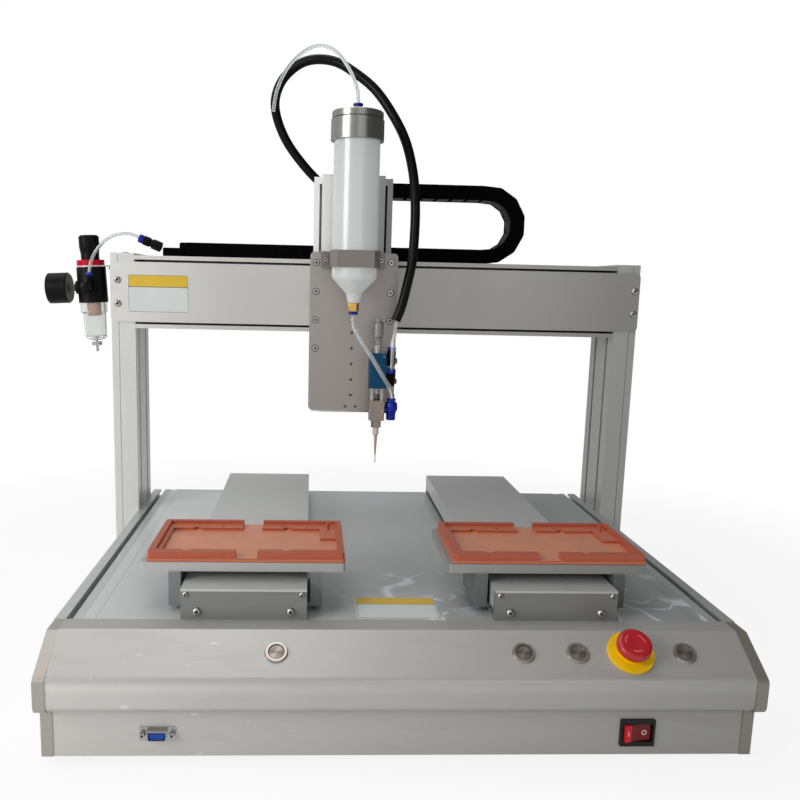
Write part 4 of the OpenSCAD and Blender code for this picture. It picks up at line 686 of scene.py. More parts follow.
# Painted shade: below 141.4 mm, the legs under the table top, the table is painted a darker
# grey, as shade under it.
TABLE = Zoned("table_silver", (186, 185, 184), 0.36, 0.5,
              zones=(Zone((-9999, -9999, -9999), (9999, 9999, 141.4), (128, 132, 133),
                          0.45, 0.3),), mottle=0.08, painted_light_fall=(1.1, 0.4))
PLATE = Anodised("plate_warm", (162, 156, 152), 0.44, 0.5, mottle=0.08, blast=0.08)
CLAMP = Anodised("clamp_warm", (128, 123, 118), 0.4, 0.6, grain=Grain.ACROSS)
# Painted light and shade: the head is painted much lighter at its left flank and darker at
# its right, over 85 mm.
HEAD = Anodised("head_silver", (208, 208, 206), 0.34, 0.5, grain=Grain.UPRIGHT,
                painted_light_fall=(1.4, 0.4), painted_light_span=(-80.0, 5.0))
CAP_TURNED = Turned("cap_turned", (140, 140, 138), 0.25, 0.85)
FIXTURE = MilledFixture("fixture_terracotta", (178, 88, 62), 0.42, 0.2, "terracotta")
STEEL = Turned("steel_turned", (186, 184, 182), 0.28, 0.95, "steel")
SCREW = Turned("screw_steel", (176, 172, 170), 0.26, 1.0, "steel", (0.0, 5200.0, 5200.0))
# Painted shade: a dark colour laid in screw sockets and as thin rings round screw heads,
# where recesses fall into shade.
SOCKET_SHADE = Turned("socket_dark", (58, 56, 54), 0.45, 0.8, "steel")
BRASS = Turned("brass_turned", (206, 164, 84), 0.26, 0.95, "brass")
BLACK = Moulded("black_moulded", (10, 10, 11), 0.36, 0.0, "black", scuff=0.05,
                shine=0.1)
MOTOR_BLACK = Moulded("motor_black", (22, 22, 24), 0.45, 0.1, "black")
CHAIN = Moulded("link_black", (10, 10, 11), 0.7, 0.0, "chain_black", grain=900.0,
                scuff=0.04, shine=0.0)
CHAIN_BAR = Moulded("chain_bar", (34, 34, 36), 0.5, 0.0, "chain_black", grain=900.0,
                    shine=0.05)
RUBBER = Moulded("foot_rubber", (32, 32, 32), 0.75, 0.0, "rubber_black", depth=0.05)
BLUE = Moulded("collar_blue", (8, 34, 150), 0.3, 0.0, "fitting_blue", scuff=0.04,
               shine=0.3)
RED = Moulded("stop_red", (176, 10, 28), 0.3, 0.0, "red", scuff=0.05, coat=0.2,
              depth=0.008)
# Painted light and shade: the rocker is one red plastic; its part left of x 200.6 mm is
# painted a lighter red, lit, and the rest a darker red, shaded.
ROCKER_RED = Zoned("rocker_red", (112, 8, 12), 0.28, 0.0, "red",
                   zones=(Zone((-9999, -9999, -9999), (200.6, 9999, 9999), (212, 30, 38),
                               0.3),), mottle=0.1)
MILKY = MilkyPlastic("reservoir_milky", (190, 193, 192), 0.26, 0.0, "milky")
CLEAR = ClearPlastic("bowl_clear", (240, 242, 240), 0.05, 0.0, "clear", 0.9)
HOSE_CLEAR = ClearPlastic("hose_clear", (226, 230, 230), 0.12, 0.0, "clear", 0.72)
SHEATH = SheathPlastic("sheath_black", (9, 9, 10), 0.3, 0.0, "black")
ELEMENT = Moulded("element_bronze", (206, 150, 112), 0.8, 0.0, "brass", grain=700.0,
                  depth=0.25, scuff=0.3, rub=(120, 80, 56))
AMBER = Moulded("label_amber", (214, 176, 46), 0.45, 0.0, "milky", scuff=0.06,
                rub=(250, 230, 160))
LABEL_PALE = Moulded("label_pale", (206, 211, 210), 0.4, 0.0, "milky", scuff=0.05,
                     rub=(240, 240, 240))
WHITE_INK = Moulded("ink_white", (236, 236, 236), 0.5, 0.0, "milky", scuff=0.0)
# Black print, also used as painted shade for the serial port's holes and a bolt's hex socket.
INK_AND_SHADE_BLACK = Moulded("ink_and_shade_black", (24, 24, 24), 0.5, 0.0, "black", scuff=0.0)
PCB = Moulded("board_green", (26, 92, 58), 0.45, 0.0, "silver")
STOP_MARK = Moulded("stop_mark", (222, 120, 124), 0.5, 0.0, "red", scuff=0.0)
BRONZE = Turned("bolt_bronze", (132, 112, 92), 0.34, 0.9, "steel", (5200.0, 0.0, 0.0))
LINE_GREY = Moulded("label_line", (70, 76, 82), 0.5, 0.0, "black", scuff=0.0)
PALE_LINE = Moulded("ring_pale", (216, 214, 210), 0.35, 0.2, "silver", scuff=0.04)
DIAL_WHITE = Moulded("dial_white", (236, 236, 232), 0.4, 0.0, "milky", scuff=0.02)
VALVE_PARTS = Zoned("valve_parts", (0, 66, 100), 0.36, 0.4, "valve_blue", zones=(
    Zone((-9999, -9999, -9999), (9999, 9999, 284.4), (176, 172, 168), 0.28, 0.95),
    Zone((-9999, -9999, 326.4), (9999, 9999, 9999), (168, 168, 168), 0.3, 0.9),
    Zone((-9999, 60.3, -9999), (9999, 9999, 9999), (160, 156, 152), 0.4, 0.7)))
NEEDLE_PARTS = Zoned("needle_parts", (198, 192, 186), 0.2, 1.0, "steel", zones=(
    Zone((-9999, -9999, -9999), (9999, 9999, 202.9), (236, 236, 234), 0.4, 0.0),))
FLUID_STEEL = Turned("fluid_steel", (150, 138, 128), 0.3, 0.9, "steel",
                     (0.0, 0.0, 2600.0))
REGULATOR_PARTS = Zoned(
    "regulator_parts", (13, 13, 14), 0.38, 0.0, "black", zones=(
        Zone((-9999, -9999, 45.3), (9999, 9999, 47.2), (216, 212, 206), 0.35, 0.2),
        Zone((-9999, -9999, 47.2), (9999, 9999, 54.4), (186, 16, 40), 0.32)),
    origin=(-368.6, 170.0, 374.5), lean=math.radians(-3.2), shine=0.1)
GAUGE_PARTS = Zoned(
    "gauge_parts", (13, 13, 14), 0.36, 0.0, "black", zones=(
        Zone((-29.6, -9999, -9999), (9999, 9999, 9999), (112, 108, 102), 0.4, 0.5),),
    origin=(-368.6, 170.0, 374.5), lean=math.radians(-3.2), mottle=0.9, shine=0.1)
BEZEL_PARTS = Zoned("bezel_parts", (172, 164, 156), 0.22, 0.95, "steel", zones=(
    Zone((174.0, -9999, 60.0), (219.0, 9999, 9999), (246, 196, 12), 0.4),
    Zone((-9999, -9999, -9999), (9999, 9999, 40.0), (10, 10, 11), 0.36)))
PORT_PARTS = Zoned("port_parts", (176, 174, 172), 0.26, 0.95, "steel", zones=(
    Zone((-218.9, -9999, 17.4), (-203.9, 9999, 24.8), (18, 70, 158), 0.4),))
NEEDLE_RED = Moulded("hand_red", (190, 30, 30), 0.4, 0.0, "red", scuff=0.0)


class Form:
    """A mesh that bmesh operators build in place, in millimetres."""

    def __init__(self) -> None:
        """Starts an empty mesh."""
        self.mesh = bmesh.new()
        self.finishes: list[Finish] = []
        self.along = self.mesh.verts.layers.float.new("along")
        self.around = self.mesh.verts.layers.float.new("around")
        self.done = self.mesh.faces.layers.int.new("done")

    def _mark(self, finish: Finish) -> None:
        """Gives the faces made since the last mark their finish."""
        if finish not in self.finishes:
            self.finishes.append(finish)
        number = self.finishes.index(finish)
        for face in self.mesh.faces:
            if not face[self.done]:
                face.material_index = number
                face.smooth = True
                face[self.done] = 1

    def _fresh(self) -> list[bmesh.types.BMVert]:
        """Returns the corners of the faces made since the last mark."""
        return [vert for vert in self.mesh.verts
                if any(not face[self.done] for face in vert.link_faces)]

    def block(self, low: Point, high: Point, finish: Finish, bevel: float = 0.0,
              where: Optional[Matrix] = None, segments: int = 2) -> "Form":
        """Adds a box with rounded edges.

        Args:
            low: Its lowest corner.
            high: Its highest corner.
            finish: Its finish.
            bevel: Radius of its edges.
            where: The frame that the corners are measured in.
            segments: Steps in each rounded edge.

        Returns:
            The form itself.
        """
        low_v, high_v = Vector(low), Vector(high)
        size = high_v - low_v
        placed = ((where or Matrix.Identity(4)) @ Matrix.Translation((low_v + high_v) / 2)
                  @ Matrix.Diagonal((size.x, size.y, size.z, 1.0)))
        made = bmesh.ops.create_cube(self.mesh, size=1.0, matrix=placed)
        if bevel > 0:
            edges = list({edge for vert in made["verts"] for edge in vert.link_edges})
            bmesh.ops.bevel(self.mesh, geom=edges, offset=bevel, offset_type="OFFSET",
                            segments=segments, profile=0.5, affect="EDGES", material=-1)
        self._mark(finish)
        return self

    def lathe(self, profile: Sequence[tuple[float, float]], where: Matrix,
              finish: Finish, steps: int = 40) -> "Form":
        """Adds a turned shape.

        Args:
            profile: Radius and height pairs along the outline, in order.
            where: The frame whose Z is the axis.
            finish: Its finish.
            steps: Steps round the axis.

        Returns:
            The form itself.
        """
        bm = self.mesh
        verts = [bm.verts.new((radius, 0.0, height)) for radius, height in profile]
        edges = [bm.edges.new(pair) for pair in zip(verts, verts[1:])]
        bmesh.ops.spin(bm, geom=verts + edges, cent=(0, 0, 0), axis=(0, 0, 1),
                       angle=2 * math.pi, steps=steps, use_merge=True)
        bmesh.ops.remove_doubles(bm, verts=self._fresh(), dist=0.0005)
        bmesh.ops.transform(bm, matrix=where, verts=self._fresh())
        self._mark(finish)
        return self

    def prism(self, outline: Sequence[tuple[float, float]], where: Matrix, depth: float,
              finish: Finish, bevel: float = 0.0) -> "Form":
        """Adds an outline raised along its frame's Z.

        Args:
            outline: Corners in the frame's XY plane.
            where: The frame.
            depth: How far it rises.
            finish: Its finish.
            bevel: Radius of its far rim.

        Returns:
            The form itself.
        """
        bm = self.mesh
        verts = [bm.verts.new((x, y, 0.0)) for x, y in outline]
        face = bm.faces.new(verts)
        raised = bmesh.ops.extrude_face_region(bm, geom=[face], use_keep_orig=True)
        top = {item for item in raised["geom"] if isinstance(item, bmesh.types.BMVert)}
        bmesh.ops.translate(bm, verts=list(top), vec=(0, 0, depth))
        if bevel > 0:
            rim = [edge for edge in {e for v in top for e in v.link_edges}
                   if edge.verts[0] in top and edge.verts[1] in top]
            bmesh.ops.bevel(bm, geom=rim, offset=bevel, offset_type="OFFSET", segments=2,
                            profile=0.5, affect="EDGES", material=-1)
        bmesh.ops.transform(bm, matrix=where, verts=self._fresh())
        self._mark(finish)
        return self

    def disc(self, radius: float, low: float, high: float, where: Matrix,
             finish: Finish, bevel: float = 0.0, sides: int = 40) -> "Form":
        """Adds a round or many-sided bar between two heights.

        Args:
            radius: Radius over the corners.
            low: Height of its lower end.
            high: Height of its upper end.
            where: The frame whose Z is the axis.
            finish: Its finish.
            bevel: Size of the upper edge's bevel.
            sides: Number of sides.

        Returns:
            The form itself.
        """
        turn = 2 * math.pi / sides
        ring = [(radius * math.cos(turn * step), radius * math.sin(turn * step))
                for step in range(sides)]
        return self.prism(ring, where @ at(0, 0, low), high - low, finish, bevel)

    def screw(self, where: Matrix, radius: float, height: float, socket: float,
              finish: Finish = SCREW, dome: bool = True) -> "Form":
        """Adds a screw head with a hex socket.

        Args:
            where: The frame at the seat, Z outwards.
            radius: Radius of the head.
            height: Height of the head.
            socket: Radius of the socket over its corners.
            finish: Finish of the head.
            dome: True for a button head, False for a cap head.

        Returns:
            The form itself.
        """
        crown = ([(radius, 0.0), (radius, 0.22 * height), (0.9 * radius, 0.6 * height),
                  (0.72 * radius, 0.86 * height), (socket * 1.12, height)] if dome else
                 [(radius, 0.0), (radius, 0.85 * height), (0.93 * radius, height),
                  (socket * 1.12, height)])
        floor = height * 0.35
        self.lathe([*crown, (socket * 1.02, height - 0.05), (socket, floor), (0.0, floor)],
                   where, finish, 24)
        # Painted shade: the dark hex sheet at the socket's floor stands for the shade inside
        # the socket.
        rim = socket * 1.12
        ring = [(rim * math.cos(math.pi * k / 3), rim * math.sin(math.pi * k / 3))
                for k in range(6)]
        return self.prism([(x * 0.8, y * 0.8) for x, y in ring],
                          where @ at(0, 0, floor - 0.2), 0.25, SOCKET_SHADE)

    def tube(self, route: Sequence[Point], radius: float, finish: Finish,
             sides: int = 16, steps: int = 6, ends: bool = True) -> "Form":
        """Adds a round hose along a smooth route.

        Args:
            route: Points that its middle passes through.
            radius: Its outer radius.
            finish: Its finish.
            sides: Sides round it.
            steps: Rings to each stretch of the route.
            ends: True to close both ends.

        Returns:
            The form itself.
        """
        bm = self.mesh
        middle = smooth_route(route, steps)
        frames = carried_frames(middle)
        ring = bmesh.ops.create_circle(bm, cap_ends=False, radius=radius, segments=sides,
                                       matrix=frames[0])["verts"]
        loops = [ring]
        for before, after in zip(frames, frames[1:]):
            edges = [edge for edge in {e for v in loops[-1] for e in v.link_edges}
                     if all(v in loops[-1] for v in edge.verts)]
            grown = bmesh.ops.extrude_edge_only(bm, edges=edges)
            new = [item for item in grown["geom"]
                   if isinstance(item, bmesh.types.BMVert)]
            bmesh.ops.transform(bm, matrix=after @ before.inverted(), verts=new)
            loops.append(new)
        run = 0.0
        for number, (loop, here) in enumerate(zip(loops, frames)):
            if number:
                run += (here.translation - frames[number - 1].translation).length
            back = here.inverted()
            for vert in loop:
                local = back @ vert.co
                vert[self.along] = run * MM
                vert[self.around] = math.atan2(local.y, local.x)
        if ends:
            for loop in (loops[0], loops[-1]):
                rim = [edge for edge in {e for v in loop for e in v.link_edges}
                       if all(v in loop for v in edge.verts)]
                bmesh.ops.edgeloop_fill(bm, edges=rim)
        self._mark(finish)
        return self

    def piece(self, name: str, body: Optional[str], crease: float = 32.0,
              replaces: Sequence[str] = ()) -> bpy.types.Object:
        """Turns the form into a finished piece of the robot.

        Args:
            name: The piece's name.
            body: The model's body that it rides on, or None to leave it on no body.
            crease: Angle in degrees past which an edge stays sharp.
            replaces: The model's nodes that it stands for.

        Returns:
            The piece.
        """
        bm = self.mesh
        bmesh.ops.recalc_face_normals(bm, faces=bm.faces)
        bmesh.ops.scale(bm, vec=(MM, MM, MM), verts=bm.verts)
        data = bpy.data.meshes.new(name)
        bm.to_mesh(data)
        bm.free()
        obj = bpy.data.objects.new(name, data)
        bpy.context.scene.collection.objects.link(obj)
        for finish in self.finishes:
            data.materials.append(finish.material())
        data.set_sharp_from_angle(angle=math.radians(crease))
        if body is not None:
            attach(obj, body)
        if replaces:
            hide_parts(*replaces)
        LOG.info("%s: %d faces on %s", name, len(data.polygons), body or "two bodies")
        return obj


def smooth_route(route: Sequence[Point], steps: int) -> list[Vector]:
    """Returns closer points on a smooth curve through a route's points."""
    points = [Vector(point) for point in route]
    found = []
    for number in range(len(points) - 1):
        before = points[max(number - 1, 0)]
        start, end = points[number], points[number + 1]
        after = points[min(number + 2, len(points) - 1)]
        for step in range(steps):
            t = step / steps
            found.append(0.5 * (2 * start + (end - before) * t
                                + (2 * before - 5 * start + 4 * end - after) * t * t
                                + (3 * start - before - 3 * end + after) * t ** 3))
    found.append(points[-1])
    return found


def carried_frames(middle: Sequence[Vector]) -> list[Matrix]:
    """Returns a frame at each point whose Z runs on and which doesn't twist."""
    frames = []
    side = Vector((0.0, 1.0, 0.0))
    last = len(middle) - 1
    for number, point in enumerate(middle):
        ahead = (middle[min(number + 1, last)] - middle[max(number - 1, 0)]).normalized()
        side = (side - ahead * side.dot(ahead)).normalized()
        other = ahead.cross(side)
        turned = Matrix((side, other, ahead)).transposed().to_4x4()
        frames.append(Matrix.Translation(point) @ turned)
    return frames


def rounded(width: float, height: float, radius: float,
            steps: int = 5) -> list[tuple[float, float]]:
    """Returns the outline of a rectangle with round corners about its middle."""
    corners = [(width / 2 - radius, height / 2 - radius, 0),
               (radius - width / 2, height / 2 - radius, 1),
               (radius - width / 2, radius - height / 2, 2),
               (width / 2 - radius, radius - height / 2, 3)]
    outline = []
    for x, y, quarter in corners:
        for step in range(steps + 1):
            turn = (quarter + step / steps) * math.pi / 2
            outline.append((x + radius * math.cos(turn), y + radius * math.sin(turn)))
    return outline


def two_tone_plate(form: Form, where: Matrix, width: float, height: float,
                   share: float) -> None:
    """Adds a thin blank plate with a dark outline, an amber strip and a pale field.

    Args:
        form: The form to build in.
        where: The frame at the plate's middle, Z outwards.
        width: Width of the plate.
        height: Height of the plate.
        share: The strip's share of the height.
    """
    strip = height * share
    form.prism(rounded(width, height, 3.0), where, 0.2, PALE_LINE)
    form.prism(rounded(width - 2.4, height - 2.4, 2.2), where @ at(0, 0, 0.2), 0.03,
               LINE_GREY)
    form.prism(rounded(width - 3.2, strip - 1.6, 1.6),
               where @ at(0, height / 2 - strip / 2 - 0.9, 0.23), 0.03, AMBER)
    form.prism(rounded(width - 3.2, height - strip - 2.6, 1.6),
               where @ at(0, -strip / 2 + 0.4, 0.23), 0.03, LABEL_PALE)


def dress(finish: Finish, *nodes: str) -> None:
    """Gives a finish to the model's own nodes."""
    for node in nodes:
        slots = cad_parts[node].data.materials
        slots.clear()
        slots.append(finish.material())
        LOG.info("%s: %s", node, finish.name)


@dataclass
class Studio:
    """The camera at the photograph's angle, soft lamps, a white room and a pale floor."""

    eye: Point = (-85.5, -885.1, 403.3)
    yaw: float = 0.0451
    pitch: float = 0.1555
    roll: float = 0.0229
    focal_px: float = 794.0
    centre_px: tuple[float, float] = (345.4, 410.3)
    image_px: float = 800.0
    floor_z: float = -8.0

    def camera(self) -> None:
        """Places the camera."""
        data = bpy.data.cameras.new("camera")
        data.sensor_width = 36.0
        data.lens = self.focal_px / self.image_px * data.sensor_width
        data.shift_x = (self.image_px / 2 - self.centre_px[0]) / self.image_px
        data.shift_y = (self.centre_px[1] - self.image_px / 2) / self.image_px
        data.clip_start, data.clip_end = 0.02, 40.0
        cos_p, sin_p = math.cos(self.pitch), math.sin(self.pitch)
        ahead = Vector((math.sin(self.yaw) * cos_p, math.cos(self.yaw) * cos_p, -sin_p))
        right = Vector((math.cos(self.yaw), -math.sin(self.yaw), 0.0))
        up = right.cross(ahead)
        turned_right = right * math.cos(self.roll) + up * math.sin(self.roll)
        turned_up = up * math.cos(self.roll) - right * math.sin(self.roll)
        obj = bpy.data.objects.new("camera", data)
        axes = Matrix((turned_right, turned_up, -ahead)).transposed().to_4x4()
        obj.matrix_world = Matrix.Translation(Vector(self.eye) * MM) @ axes
        bpy.context.scene.collection.objects.link(obj)
        bpy.context.scene.camera = obj

    def lamp(self, name: str, place: Point, size: float, watts: float,
             colour: tuple[float, float, float] = (1.0, 1.0, 1.0)) -> None:
        """Hangs a square soft lamp that looks at the robot's middle.

        Args:
            name: Its name.
            place: Where it hangs, in metres.
            size: Its edge, in metres.
            watts: Its power.
            colour: Its colour in linear light.
        """
        data = bpy.data.lights.new(name, "AREA")
        data.shape, data.size, data.energy, data.color = "SQUARE", size, watts, colour
        obj = bpy.data.objects.new(name, data)
        aim = Vector((0.0, -0.02, 0.2)) - Vector(place)
        obj.rotation_euler = aim.to_track_quat("-Z", "Y").to_euler()
        obj.location = place
        bpy.context.scene.collection.objects.link(obj)

    def room(self) -> None:
        """Fills the world with soft light that the camera sees as white."""
        world = bpy.data.worlds.new("room")
        bpy.context.scene.world = world
        world.use_nodes = True
        tree = world.node_tree
        tree.nodes.clear()
        path = tree.nodes.new("ShaderNodeLightPath")
        soft = tree.nodes.new("ShaderNodeBackground")
        soft.inputs["Color"].default_value = (1.0, 1.0, 1.0, 1.0)
        soft.inputs["Strength"].default_value = 0.3
        white = tree.nodes.new("ShaderNodeBackground")
        white.inputs["Color"].default_value = (1.0, 1.0, 1.0, 1.0)
        white.inputs["Strength"].default_value = 1.0
        glossy = tree.nodes.new("ShaderNodeBackground")
        way = tree.nodes.new("ShaderNodeTexCoord")
        split = tree.nodes.new("ShaderNodeSeparateXYZ")
        side = tree.nodes.new("ShaderNodeMapRange")
        side.interpolation_type = "SMOOTHSTEP"
        for key, value in (("From Min", 0.75), ("From Max", -0.55), ("To Min", 0.12),
                           ("To Max", 1.0)):
            side.inputs[key].default_value = value
        tree.links.new(way.outputs["Generated"], split.inputs[0])
        tree.links.new(split.outputs["X"], side.inputs["Value"])
        tree.links.new(side.outputs[0], glossy.inputs["Strength"])
        seen = tree.nodes.new("ShaderNodeMixShader")
        mirrored = tree.nodes.new("ShaderNodeMixShader")
        through = tree.nodes.new("ShaderNodeMixShader")
        out = tree.nodes.new("ShaderNodeOutputWorld")
        tree.links.new(path.outputs["Is Glossy Ray"], mirrored.inputs[0])
        tree.links.new(soft.outputs[0], mirrored.inputs[1])
        tree.links.new(glossy.outputs[0], mirrored.inputs[2])
        tree.links.new(path.outputs["Is Transmission Ray"], through.inputs[0])
        tree.links.new(mirrored.outputs[0], through.inputs[1])
        tree.links.new(white.outputs[0], through.inputs[2])
        tree.links.new(path.outputs["Is Camera Ray"], seen.inputs[0])
        tree.links.new(through.outputs[0], seen.inputs[1])
        tree.links.new(white.outputs[0], seen.inputs[2])
        tree.links.new(seen.outputs[0], out.inputs["Surface"])

    def floor(self) -> None:
        """Lays the pale floor that keeps the robot's soft shadow."""
        bm = bmesh.new()
        bmesh.ops.create_grid(bm, x_segments=1, y_segments=1, size=14.0,
                              matrix=Matrix.Translation((0, 0, self.floor_z * MM)))
        data = bpy.data.meshes.new("floor")
        bm.to_mesh(data)
        bm.free()
        obj = bpy.data.objects.new("floor", data)
        bpy.context.scene.collection.objects.link(obj)
        web = Web("floor_white")
        path = web.node("ShaderNodeLightPath", output="Is Camera Ray")
        glossy = Signal(web, path.socket.node.outputs["Is Glossy Ray"])
        through = Signal(web, path.socket.node.outputs["Is Transmission Ray"])
        flat = web.node("ShaderNodeBsdfDiffuse", {}, {"Color": (0.94, 0.94, 0.94, 1.0)})
        glow = web.node("ShaderNodeEmission", {}, {"Color": (1.0, 1.0, 1.0, 1.0),
                                                    "Strength": 1.0})
        x, y, _ = web.axes(web.place())
        far = (x * x + y * y).over(0.8, 0.4)
        share = path * (0.86 + far * 0.14) + glossy * 0.3 + through * 0.7
        web.node_out(web.node("ShaderNodeMixShader", {}, {0: share, 1: flat, 2: glow}))
        data.materials.append(web.material)

    def build(self) -> None:
        """Sets up the camera, the lamps, the room and the floor."""
        bpy.context.scene.view_settings.view_transform = "Standard"
        self.camera()
        self.lamp("key", (-1.35, -0.95, 0.8), 0.7, 15.0, (1.0, 0.995, 0.985))
        self.lamp("fill", (0.6, -2.2, 0.9), 1.4, 5.0, (0.97, 0.98, 1.0))
        self.lamp("top", (-0.5, 0.2, 2.2), 1.4, 11.0)
        self.room()
        self.floor()


@dataclass
class Hoses:
    """The sheath with its air lines, the fluid line, and the supply line on the beam."""

    tube_r: float = 2.0
    fluid_r: float = 2.5
    sheath_r: float = 5.6
    start_y: float = 176.0
    end_y: float = 66.0
    sheath_route: tuple = (
        (-48, 176, 520), (-62, 168, 526), (-81, 162, 536), (-103, 158, 558),
        (-121, 153, 582), (-132, 147, 607), (-134, 140, 628), (-125, 133, 649),
        (-106, 126, 665), (-85, 119, 670), (-61, 112, 666), (-39, 105, 653),
        (-15, 97, 633), (5, 88, 605), (21, 76, 572), (30, 66, 534), (33, 60, 499),
        (33, 57, 466), (31, 55, 433), (26, 54, 406), (20, 54, 380), (14, 54, 364))
    reservoir_route: tuple = (
        (-136, 130, 611), (-131, 122, 635), (-118, 108, 657), (-99, 92, 671),
        (-80, 77, 674), (-62, 63, 664), (-48, 52, 644), (-40, 46, 626),
        (-37.4, 44, 614), (-37, 44, 603))
    fluid_route: tuple = (
        (-37, 44, 372.5), (-36.5, 40, 358), (-31, 35, 346), (-25, 31, 336),
        (-17, 28, 325), (-9, 27, 312), (0, 29, 298), (8, 37, 286), (12, 46, 276),
        (12, 50, 269.5))
    upper_air_route: tuple = (
        (16.5, 57, 371), (15.5, 56, 362), (13.5, 52, 351), (11, 47.5, 342),
        (9.7, 46, 336), (9.5, 46.9, 330.5))
    lower_air_route: tuple = (
        (15.2, 51, 370), (14.3, 50.4, 363), (12.8, 44.5, 353), (11.2, 40, 344),
        (10, 37.3, 335), (9.5, 36.3, 326), (9.5, 37, 317), (9.5, 39.6, 309.5),
        (9.5, 43, 303.5))
    supply_route: tuple = (
        (-367, 143, 408), (-365, 145, 424), (-360, 149, 438), (-350, 155, 452),
        (-338, 160, 460), (-324, 165, 463), (-314, 168, 461), (-306, 170, 457))

    def across(self, obj: bpy.types.Object) -> None:
        """Bakes a hose's placement into its mesh and leaves it on no body."""
        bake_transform(obj)

    def build(self) -> None:
        """Makes every hose."""
        sheath = Form().tube(self.sheath_route, self.sheath_r, SHEATH, 24, 6)
        self.across(sheath.piece("hose_sheath", None, 60.0, ["hose_sleeve"]))
        line = Form().tube(self.reservoir_route, self.tube_r, HOSE_CLEAR, 16, 6)
        self.across(line.piece("reservoir_air_line", None, 60.0))
        lines = Form()
        lines.tube(self.fluid_route, self.fluid_r, HOSE_CLEAR, 20, 6)
        lines.piece("fluid_line", "z_slide", 60.0, ["clear_hoses"])
        air = Form()
        air.tube(self.upper_air_route, self.tube_r, HOSE_CLEAR, 16, 6)
        air.piece("upper_air_line", "z_slide", 60.0)
        air = Form()
        air.tube(self.lower_air_route, self.tube_r, HOSE_CLEAR, 16, 6)
        air.piece("lower_air_line", "z_slide", 60.0)
        supply = Form().tube(self.supply_route, self.tube_r, HOSE_CLEAR, 16, 6)
        supply.piece("supply_line", "frame", 60.0, ["supply_hose"])


@dataclass
class DragChain:
    """The cable chain: closed links whose plates overlap at each pin.

    The two straight runs are baked in place on no body; only the bend rides a body.
    """

    pitch: float = 20.0
    height: float = 18.0
    width: float = 38.0
    plate: float = 3.0
    bar: float = 2.0
    pin: float = 2.6
    low_z: float = 444.9
    top_z: float = 525.93
    bend_x: float = 135.0
    mid_y: float = 184.0
    lead: float = 5.3
    bend_links: int = 7
    lower_links: int = 19
    upper_links: int = 7
    end_l: float = 33.0

    def link(self, form: Form, where: Matrix, lids: tuple[float, ...] = (-1.0, 1.0)) -> None:
        """Adds one link, from its own pin to the next.

        Args:
            form: The form to build in.
            where: The frame at the link's first pin, X towards the next.
            lids: The sides that carry a cross bar.
        """
        half = self.height / 2
        steps = 10
        arc = [(math.pi / 2 + math.pi * k / steps) for k in range(steps + 1)]
        neck = self.pitch - half - 0.3
        plate = ([(half * math.cos(turn), half * math.sin(turn)) for turn in arc]
                 + [(neck, -half), (neck, half)])
        for side in (-1, 1):
            face = where @ at(0, side * (self.width / 2 - self.plate / 2) + self.plate / 2,
                              0) @ Matrix.Rotation(math.pi / 2, 4, "X")
            form.prism(plate, face, self.plate, CHAIN, 0.0)
            outer = side * (self.width / 2 - 0.3)
            inner = side * (self.width / 2 - self.plate + 0.3)
            form.block((neck - 0.4, min(outer, inner), 0.02 - half),
                       (self.pitch - 0.3, max(outer, inner), half - 0.02), CHAIN, 0.0,
                       where)
            boss = where @ at(0, side * self.width / 2 - 0.2 * side, 0)
            turn = Matrix.Rotation(math.pi / 2 * side, 4, "X")
            form.disc(self.pin, -0.15, 0.15, boss @ turn, CHAIN, 0.0, 20)
        for side in lids:
            low = side * (half - 0.5) - (self.bar if side > 0 else 0.0)
            form.block((2.4, self.plate - self.width / 2, low),
                       (self.pitch - 2.4, self.width / 2 - self.plate, low + self.bar),
                       CHAIN_BAR, 0.4, where)

    def run(self, name: str, first_x: float, z: float, count: int, way: int,
            node: str) -> bpy.types.Object:
        """Makes one straight run with its end piece.

        Args:
            name: The piece's name.
            first_x: Where its first pin is.
            z: Height of its middle.
            count: Number of links.
            way: 1 where links follow to the right, -1 to the left.
            node: The model's node that it stands for.

        Returns:
            The piece, on no body.
        """
        form = Form()
        turn = Matrix.Rotation(0.0 if way > 0 else math.pi, 4, "Y")
        for number in range(count):
            self.link(form, at(first_x + way * number * self.pitch, self.mid_y, z) @ turn)
        half = self.height / 2
        end = self.bend_x - self.pitch * (self.lower_links if way > 0 else self.upper_links)
        low, high = end - self.end_l, end
        form.block((low, self.mid_y - self.width / 2, z - half),
                   (high - 4.0, self.mid_y + self.width / 2, z + half * 0.2), CHAIN, 0.6)
        form.block((high - 12.0, self.mid_y - self.width / 2 + 0.1, z - half + 0.1),
                   (high + 1.0, self.mid_y + self.width / 2 - 0.1, z + half - 0.1), CHAIN,
                   2.4)
        return form.piece(name, None, 40.0, [node])

    def build(self) -> None:
        """Makes both runs and the bend between them."""
        lower_x = self.bend_x - self.lower_links * self.pitch
        lower = self.run("chain_lower_links", lower_x, self.low_z, self.lower_links, 1,
                         "chain_lower_run")
        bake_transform(lower)
        upper = self.run("chain_upper_links", self.bend_x, self.top_z, self.upper_links,
                         -1, "chain_upper_run")
        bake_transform(upper)
        form = Form()
        spot = Vector((self.bend_x, 0.0, self.low_z))
        for number in range(self.bend_links):
            turn = math.radians(self.lead + number * (180 - 2 * self.lead)
                                / (self.bend_links - 1))
            frame_here = at(spot.x, self.mid_y, spot.z) @ Matrix.Rotation(-turn, 4, "Y")
            self.link(form, frame_here)
            spot += Vector((math.cos(turn), 0.0, math.sin(turn))) * self.pitch
        form.piece("chain_bend_links", "chain_bend", 40.0, ["chain_bend"])


